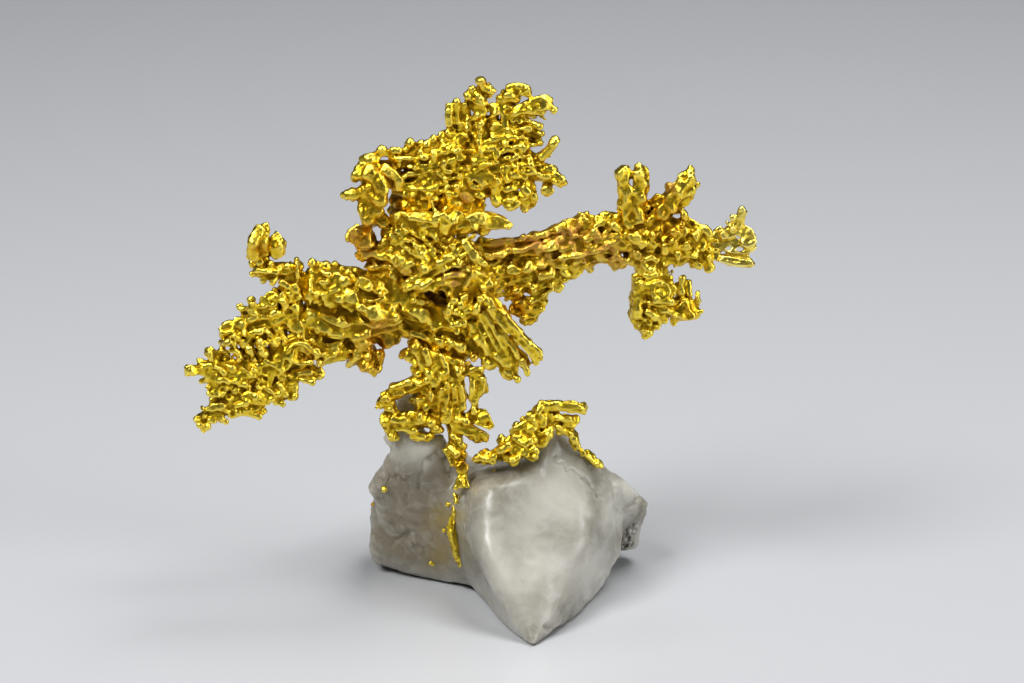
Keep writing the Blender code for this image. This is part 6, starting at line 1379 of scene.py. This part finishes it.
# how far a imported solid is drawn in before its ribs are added. Less than nothing lets it swell, which closes
# its grooves.
DRAWN_IN = {"gold_plate": 0.0, "gold_seam": 0.0, "gold_hook": 0.0, "gold_drop": 0.02, "gold_stem": 0.0,
            "gold_crest": 0.0, "gold_arm": -0.10, "gold_core": -0.02}
DRAWN_IN_ELSEWHERE = 0.06
PAST_THE_GAP = 0.12
NODE_GAP = 0.45  # limbs that are packed nearer to each other than this are grown together
# (across, up, depth, radius) of lumps behind places where the light must not fall through
FILLS = {
    "gold_core": [
        (-3.4, 43.9, 6.2, 1.4), (5.6, 38.6, 2.2, 1), (4.6, 37.2, 2.2, 1.1), (-12.6, 42.6, 5, 1.6),
    ],
    "gold_left_wing": [
        (-30.2, 36.4, 1.4, 0.9), (-28.8, 36.6, 1.4, 0.9), (-22, 40.4, 2.4, 1.1), (-21.8, 42.6, 2.4, 0.9),
    ],
}
print("stains:", {name: len(patches) for name, patches in STAINS.items()})

# %% Grow each limb
STONE = Ground("quartz_matrix")


def base_of(node):
    """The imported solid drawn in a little, for the ribs to stand out from. Where it was cut apart from its
    neighbour, its corners run over the gap instead, because the real gold has grown together there."""
    ground = GROUNDS[node]
    points = ground.points - ground.leaning * DRAWN_IN.get(node, DRAWN_IN_ELSEWHERE)
    for other, neighbour in [*GROUNDS.items(), ("quartz_matrix", STONE)]:
        if other != node:
            over = neighbour.near(ground.points)[0] - ground.points
            far = np.linalg.norm(over, axis=1)
            close = far < NODE_GAP
            stretch = 1 + PAST_THE_GAP / np.maximum(far[close], 0.1)
            points[close] = ground.points[close] + over[close] * stretch[:, None]
    return points, ground.faces


def limb(node, number):
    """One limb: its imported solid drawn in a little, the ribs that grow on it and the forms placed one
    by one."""
    parts = [base_of(node)] + TUBES[node]
    for across, up, depth, radius in FILLS.get(node, []):
        parts.append(lumps(seen(across, up, depth)[None], np.array([radius]), 0.6))
    for layer, sizes in enumerate(GROWTH[node]):
        parts.append(ribs(GROUNDS[node], VEINS[node], COVERS[node], 40 + number + 20 * layer, *sizes))
    relief = ARM_RELIEF if node == "gold_arm" else GOLD_RELIEF
    rounds = 2 if node in ("gold_plate", "gold_seam") else 4
    thing = skin(node + "_grown", parts, VOXEL, relief, rounds)
    for name, patches in STAINS.items():
        paint(thing, name, patches)
    dress(node, thing, FINISH.get(node, bright_gold))


for number, node in enumerate(VEINS):
    limb(node, number)

# %% [markdown]
# ## The quartz
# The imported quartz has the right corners, but vein quartz that has been etched and rubbed has soft edges.
# Its skin is averaged with its neighbours many times over on the broad faces and hardly at all at the
# corners that are still sharp. What that takes away is averaged too and given back, so the stone keeps
# its size. Then it gets the shallow waves of slow growth, rough breaks on the left lobe and the ledge,
# and its cracks.

# %% Corners, breaks and cracks of the quartz
SHARP = [
    (21.6, 18.4, 2.8), (19, 20.6, 2.2), (14.4, 24, 2.2), (7.8, 1.4, 1.7), (20.2, 14.4, 2.4),
    (-12, 20, 2.6), (-12.2, 12, 2.4), (10, 3.4, 1.6), (10.6, 27, 2),
]
ROUGH = [
    (-11.6, 20.8, 2, 0.8), (-11.8, 16.6, 1.8, 0.5), (19, 15.2, 1.6, 0.4), (-7, 13, 3.4, 0.4),
    (14.6, 23.2, 1.6, 0.45), (-9.4, 24.4, 2, 0.6), (18, 20.6, 1.8, 0.45), (18.2, 11.6, 1.4, 0.5),
    (12.2, 25.4, 1.5, 0.4), (-11.4, 12, 1.6, 0.7), (-12, 18.6, 1.4, 0.9), (-12, 14.2, 1.4, 0.8),
    (16.4, 9.4, 1.3, 0.5), (14, 6.6, 1.2, 0.5), (11.2, 4, 1.2, 0.45), (20.6, 17, 1.4, 0.6),
    (-1.6, 9, 1.4, 0.4),
]
# (depth, half width, places) of the cracks, steps and notches that can be seen from the front
CRACKS = [
    (0.34, 0.24, (13.9, 21.6), (15.4, 20.1), (17.1, 18.9), (17.6, 17.7), (19, 17.7), (20.5, 19.1),
     (20.9, 19.8)),
    (0.4, 0.34, (17.7, 17.4), (18.5, 16), (18, 13.8), (17.3, 11.8), (17.1, 10.4)),
    (0.26, 0.22, (-6.3, 20.6), (-6.3, 21.8), (-5.4, 23.8), (-4.1, 24.6), (-3.2, 23.6), (-2.7, 21.6)),
    (0.24, 0.2, (-10.4, 20.6), (-10.2, 21.6), (-8.5, 21.8), (-7.6, 20.1), (-7.9, 18.2)),
    (0.22, 0.22, (-9.6, 13.4), (-8.2, 14.6), (-6.6, 14.4), (-5.9, 12.6)),
    (0.18, 0.18, (10.2, 24.2), (11.6, 22.8), (13.6, 21.9)),
    (0.3, 0.22, (-0.6, 19.6), (-0.5, 16.4), (0.2, 13.2), (0.9, 10.2)),
    (0.2, 0.22, (16.2, 21.4), (17.6, 20.9), (18.4, 20)), (0.5, 0.34, (9.4, 3.4), (10.2, 3.1)),
    (0.3, 0.3, (13.6, 6.4), (14.4, 6)), (0.14, 0.14, (3.4, 7.2), (4.4, 7.6)),
]
SOFTENINGS = 180
FOOT_HEIGHT = 1.6  # the lowest part of the stone keeps its shape too, because the stone stands on it
# the small peak of quartz that the stem's blobs are draped round, and its half widths
PEAK = [(-8.6, 26, 5), (-8.2, 28, 4.8), (-7.9, 29.8, 4.6), (-7.6, 31.2, 4.4), (-7.3, 32, 4.3)]
PEAK_HALVES = [2.2, 1.9, 1.6, 1.2, 0.6]
print(len(SHARP), "sharp corners,", len(ROUGH), "rough breaks and", len(CRACKS), "cracks")

# %% Quartz shape
def cut_by(places, cracks):
    """How deep the cracks cut at each place: for each run, its depth times exp(-(distance / half
    width)^2)."""
    deepest = np.zeros(len(places))
    for depth, half, *stops in cracks:
        for foot, tip in zip(np.array(stops[:-1]), np.array(stops[1:])):
            share = ((places - foot) @ (tip - foot) / ((tip - foot) @ (tip - foot))).clip(0, 1)
            far = np.linalg.norm(places - foot - share[:, None] * (tip - foot), axis=1)
            deepest = np.maximum(deepest, depth * np.exp(-((far / half) ** 2)))
    return deepest


def quartz_piece():
    """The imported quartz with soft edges, the waves of slow growth, broken places and cracks."""
    coarse = skin("quartz_coarse", [(STONE.points, STONE.faces)], 0.42, rounds=2)
    points, faces = arrays_of(coarse.data)
    points /= MM
    bpy.data.objects.remove(coarse)
    foot = np.exp(-((points[:, 2] / FOOT_HEIGHT) ** 2))
    keep = np.maximum(faded(on_ruler(points), SHARP).max(axis=1), foot)
    share = 0.5 * (1 - 0.97 * keep)
    soft = averaged(points, faces, share, SOFTENINGS)
    points = soft + averaged(points - soft, faces, share, SOFTENINGS)
    peak = np.array([seen(*stop) for stop in PEAK])
    run = unit(np.gradient(peak, axis=0))
    across = unit(np.cross(run, INTO_VIEW))
    lump = shells(peak[None], np.array(PEAK_HALVES)[None], across[None], np.cross(across, run)[None], 0.8, 9)
    fine = 0.26
    thing = skin("quartz_grown", [(points, faces), lump], fine, rounds=3)
    points, faces = arrays_of(thing.data)
    points /= MM
    leaning = leaning_of(thing.data)
    places = on_ruler(points)
    rough = faded(places, ROUGH).max(axis=1)
    left = 1 / (1 + np.exp((points[:, 0] + 1.8) / 0.4))
    slow = 0.12 * waves(points, 7.0, 81) + 0.014 * waves(points, 2.0, 82) + 0.003 * waves(points, 0.8, 83)
    broken = 0.32 * np.abs(waves(points, 3.2, 84)) + 0.13 * np.abs(waves(points, 1.2, 85)) - 0.17
    front = (-(leaning * INTO_VIEW).sum(axis=1) * 2.0).clip(0, 1)
    wander = places + 0.16 * np.stack([waves(points, 1.3, 86), waves(points, 1.3, 87)], axis=1)
    moved = slow + broken * np.maximum(rough, 0.22 * left) - cut_by(wander, CRACKS) * front
    points = (points + leaning * moved[:, None]).clip(LOW, HIGH)
    thing.data = to_mesh("quartz_grown", points, faces, MM)
    thing.data.shade_smooth()
    return thing


def druse(places, spread, count, seed):
    """Small six-sided quartz points that stand on the stone round each place: a straight shaft, then a
    taper."""
    dice = np.random.default_rng(seed)
    feet = np.repeat(np.array(places, float), count, axis=0)
    feet = feet + dice.normal(0, spread, feet.shape)
    middles, _ = STONE.front(feet)
    middles, facing = STONE.near(middles)
    way = unit(facing + 0.3 * dice.normal(size=facing.shape) + (0, 0, 0.5))
    length = dice.uniform(0.35, 0.85, len(feet))
    share = np.array([-0.7, 0.3, 0.6, 0.95])
    rings = middles[:, None] + way[:, None] * (share * length[:, None])[:, :, None]
    halves = dice.uniform(0.14, 0.28, (len(feet), 1)) * np.array([1.0, 1.0, 0.9, 0.1])
    across = unit(np.cross(way, (0.3, 0.9, 0.2)))
    beside, inward = (np.repeat(side[:, None], 4, axis=1) for side in (across, np.cross(way, across)))
    points, faces = shells(rings, halves, beside, inward, facets=6)
    return shown("quartz_druse", to_mesh("quartz_druse", points.clip(LOW, HIGH), faces, MM))


# %% [markdown]
# ## The quartz's finish
# Milky quartz is white because of tiny bubbles. Light enters it, is scattered and comes out a few
# millimetres away, so it is made with subsurface scattering under a thin glassy coat. The milkiness lies in
# clouds, patches of painted shade darken it in places, the left lobe is browner and darker, partly its own
# colour and partly painted shade, and the gold inside the seam shines through.

# %% Quartz finish
def cloud_group():
    """Milky quartz: veils of tiny bubbles whiten it in clouds, patches of painted shade take the milk away in
    places, the left lobe is greyer and browner, partly its own colour and partly painted shade, and gold in
    the seam shines through as a yellow glow."""
    colours = ("Milk Colour", "Glassy And Shade Colour", "Left Lobe And Shade Colour", "Glow Colour")
    group, into, out = surface_group("milky clouds", ("Left", "Glow", "Clear"), colours)
    place = into["Place"]
    cloud = ramp(group, noise(group, place, 95.0, 5.0, 0.55, 0.6), [(0.36, 0.0), (0.62, 1.0)])
    veil = ramp(group, noise(group, place, 480.0, 5.0, 0.6, 1.2), [(0.46, 0.0), (0.72, 1.0)])
    milky = sums(group, "ADD", sums(group, "MULTIPLY", cloud, 0.8), 0.2)
    # the clear patches are painted shade: they take the milk away, so the darker glassy colour shows there
    milky = sums(group, "SUBTRACT", milky, into["Clear"])
    milk = blend_of(group, milky, into["Glassy And Shade Colour"], into["Milk Colour"])
    # the left lobe: its own grey-brown, made darker as painted shade
    side = blend_of(group, sums(group, "MULTIPLY", cloud, 0.35), into["Left Lobe And Shade Colour"], into["Glassy And Shade Colour"])
    colour = blend_of(group, into["Left"], milk, side)
    colour = blend_of(group, into["Glow"], colour, into["Glow Colour"])
    colour = blend_of(group, sums(group, "MULTIPLY", veil, 0.35), colour, into["Milk Colour"])
    group.links.new(colour, out["Colour"])
    fine = noise(group, place, 1400.0, 4.0, 0.6)
    group.links.new(ramp(group, fine, [(0.3, 0.26), (0.7, 0.46)]), out["Roughness"])
    pitted = sums(group, "ADD", noise(group, place, 620.0, 4.0, 0.5), sums(group, "MULTIPLY", fine, 0.3))
    group.links.new(pitted, out["Height"])
    return group


CLOUDS = cloud_group()


def quartz(name):
    """Milky quartz: light goes a few millimetres into it and comes out again, under a glassy skin."""
    # the clear colour shows in the gaps between the clouds and, as painted shade, under the clear patches
    colours = {"Milk Colour": (0.57, 0.555, 0.495), "Glassy And Shade Colour": (0.22, 0.205, 0.16),
               "Left Lobe And Shade Colour": (0.24, 0.20, 0.13), "Glow Colour": (0.34, 0.24, 0.04)}
    # the left colour is the lobe's own grey-brown, made darker as painted shade
    made, shader = surfaced(name, CLOUDS, ("Left", "Glow", "Clear"), colours, 0.12)
    inside = {"IOR": 1.54, "Subsurface Weight": 1.0, "Subsurface Radius": (1.0, 0.96, 0.9),
              "Subsurface Scale": 0.0045, "Coat Weight": 0.12, "Coat Roughness": 0.22}
    for label, value in inside.items():
        shader.inputs[label].default_value = value
    return made


MILKY = quartz("milky quartz")
# (across, up, radius, strength) of the left lobe: its grey-brown stone, made darker as painted shade
LEFT_LOBE_AND_SHADE = [(-9, 22, 3.4, 0.75), (-6, 18, 4, 1), (-9, 14, 4.6, 1), (-4, 13, 3, 0.9), (-4, 21, 2.4, 0.6)]
GLOW = [
    (-3.6, 16.6, 1.8, 0.7), (-3.6, 12.2, 1.6, 0.6), (-0.9, 21, 0.9, 0.5), (0.2, 22.6, 1.4, 0.3),
    (-1.4, 17, 1, 0.6),
]
# (across, up, radius, strength) of painted shade: darker patches, mostly at the edges and the lower part
PAINTED_SHADE_PATCHES = [
    (3.9, 21.4, 2.6, 0.75), (9.8, 6.6, 3.4, 0.5), (0.4, 11, 2.4, 0.7), (17.4, 12.6, 2.4, 0.6),
    (20.8, 17.6, 2, 0.9), (8, 1.6, 1.8, 0.35), (4, 5.8, 2.2, 0.35), (18.6, 14.6, 1.8, 0.7),
    (8, 22.6, 1.6, 0.4), (13.6, 8, 2.2, 0.35),
]
stone = quartz_piece()
finished, sides = arrays_of(stone.data)
STONE.tree = BVHTree.FromPolygons((finished / MM).tolist(), sides.tolist())
for piece in (stone, druse([(19.4, 13.6), (19.9, 14.8), (18.9, 12.6), (19.0, 14.6)], 0.7, 4, 91)):
    # clear is painted shade; left marks the left lobe, partly painted shade
    for label, patches in (("clear", PAINTED_SHADE_PATCHES), ("left", LEFT_LOBE_AND_SHADE), ("glow", GLOW)):
        paint(piece, label, patches)
    dress("quartz_matrix", piece, MILKY)

# %% [markdown]
# ## Specks of gold
# A few grains of gold sit on the stone near the seam. They are small balls moved to the nearest place of
# the finished stone, so that none of them floats, and wrapped in a skin of their own.

# %% Specks of gold on the quartz
SPECKS = [
    (-2.7, 18.3, 0.3), (-2.4, 18.4, 0.22), (-4.8, 11.2, 0.3), (-4.5, 11, 0.24), (-3.2, 15.2, 0.26),
    (-12, 18.8, 0.42), (-11.9, 18.3, 0.34), (2.9, 22.4, 0.2),
]
grains = balls(STONE, SPECKS, rise=0.0, snap=True)
specks = skin("gold_specks", [grains], 0.08, GOLD_RELIEF, rounds=2, whole=False)
for name, patches in STAINS.items():
    paint(specks, name, patches + [(-12.0, 18.6, 0.8, 1.0)])
dress("gold_seam", specks, bright_gold)

# %% [markdown]
# ## The studio
# A pale floor that runs up into a backdrop, three soft lights and a long lens: gold needs large bright
# areas to reflect and dark gaps between them, or it looks like yellow paint.

# %% Floor, lights and camera
def floor():
    """A pale floor that curves up into a backdrop: a profile of flat run, quarter circle and wall, drawn
    wide."""
    turn = np.linspace(0, math.pi / 2, 16)
    radius, run = 0.6, 1.2
    y = np.concatenate([[-1.5], run + radius * np.sin(turn), [run + radius]])
    z = np.concatenate([[0.0], radius * (1 - np.cos(turn)), [2.4]])
    left = np.stack([np.full(len(y), -2.5), y, z], axis=1)
    right = left * (-1, 1, 1)
    points = np.concatenate([left, right])
    low = np.arange(len(y) - 1)
    cells = np.stack([low, low + 1, low + 1 + len(y), low + len(y)], axis=1)
    made = shown("floor", to_mesh("floor", points, cells[:, ::-1]))
    made.data.shade_smooth()
    finish = bpy.data.materials.new("pale floor")
    finish.use_nodes = True
    shader = finish.node_tree.nodes["Principled BSDF"]
    shader.inputs["Base Color"].default_value = (0.52, 0.53, 0.55, 1.0)
    shader.inputs["Roughness"].default_value = 0.32
    made.data.materials.append(finish)


def softbox(name, place, size, watts):
    """A rectangular light that looks at the middle of the specimen."""
    light = bpy.data.lights.new(name, "AREA")
    light.shape = "RECTANGLE"
    light.size, light.size_y = size
    light.energy = watts
    thing = shown(name, light)
    thing.location = place
    thing.rotation_euler = (Vector((0, 0, 0.035)) - Vector(place)).to_track_quat("-Z", "Y").to_euler()


floor()
softbox("key", (-0.28, -0.24, 0.50), (0.24, 0.24), 3.1)
softbox("top", (0.16, 0.05, 0.55), (0.34, 0.22), 2.4)
softbox("right", (0.50, -0.22, 0.22), (0.16, 0.40), 1.3)
world = bpy.data.worlds.new("studio")
world.use_nodes = True
world.node_tree.nodes["Background"].inputs["Color"].default_value = (0.9, 0.95, 1.0, 1.0)
world.node_tree.nodes["Background"].inputs["Strength"].default_value = 0.04
bpy.context.scene.world = world

lens = bpy.data.cameras.new("camera")
lens.lens = 129.7
lens.clip_start = 0.01
camera = shown("camera", lens)
camera.location = Vector((AIM - INTO_VIEW * VIEW_DISTANCE) * MM)
camera.rotation_euler = Vector(INTO_VIEW).to_track_quat("-Z", "Y").to_euler()
bpy.context.scene.camera = camera
bpy.context.scene.view_settings.view_transform = "Standard"
print("camera at", [round(part, 3) for part in camera.location], "m")
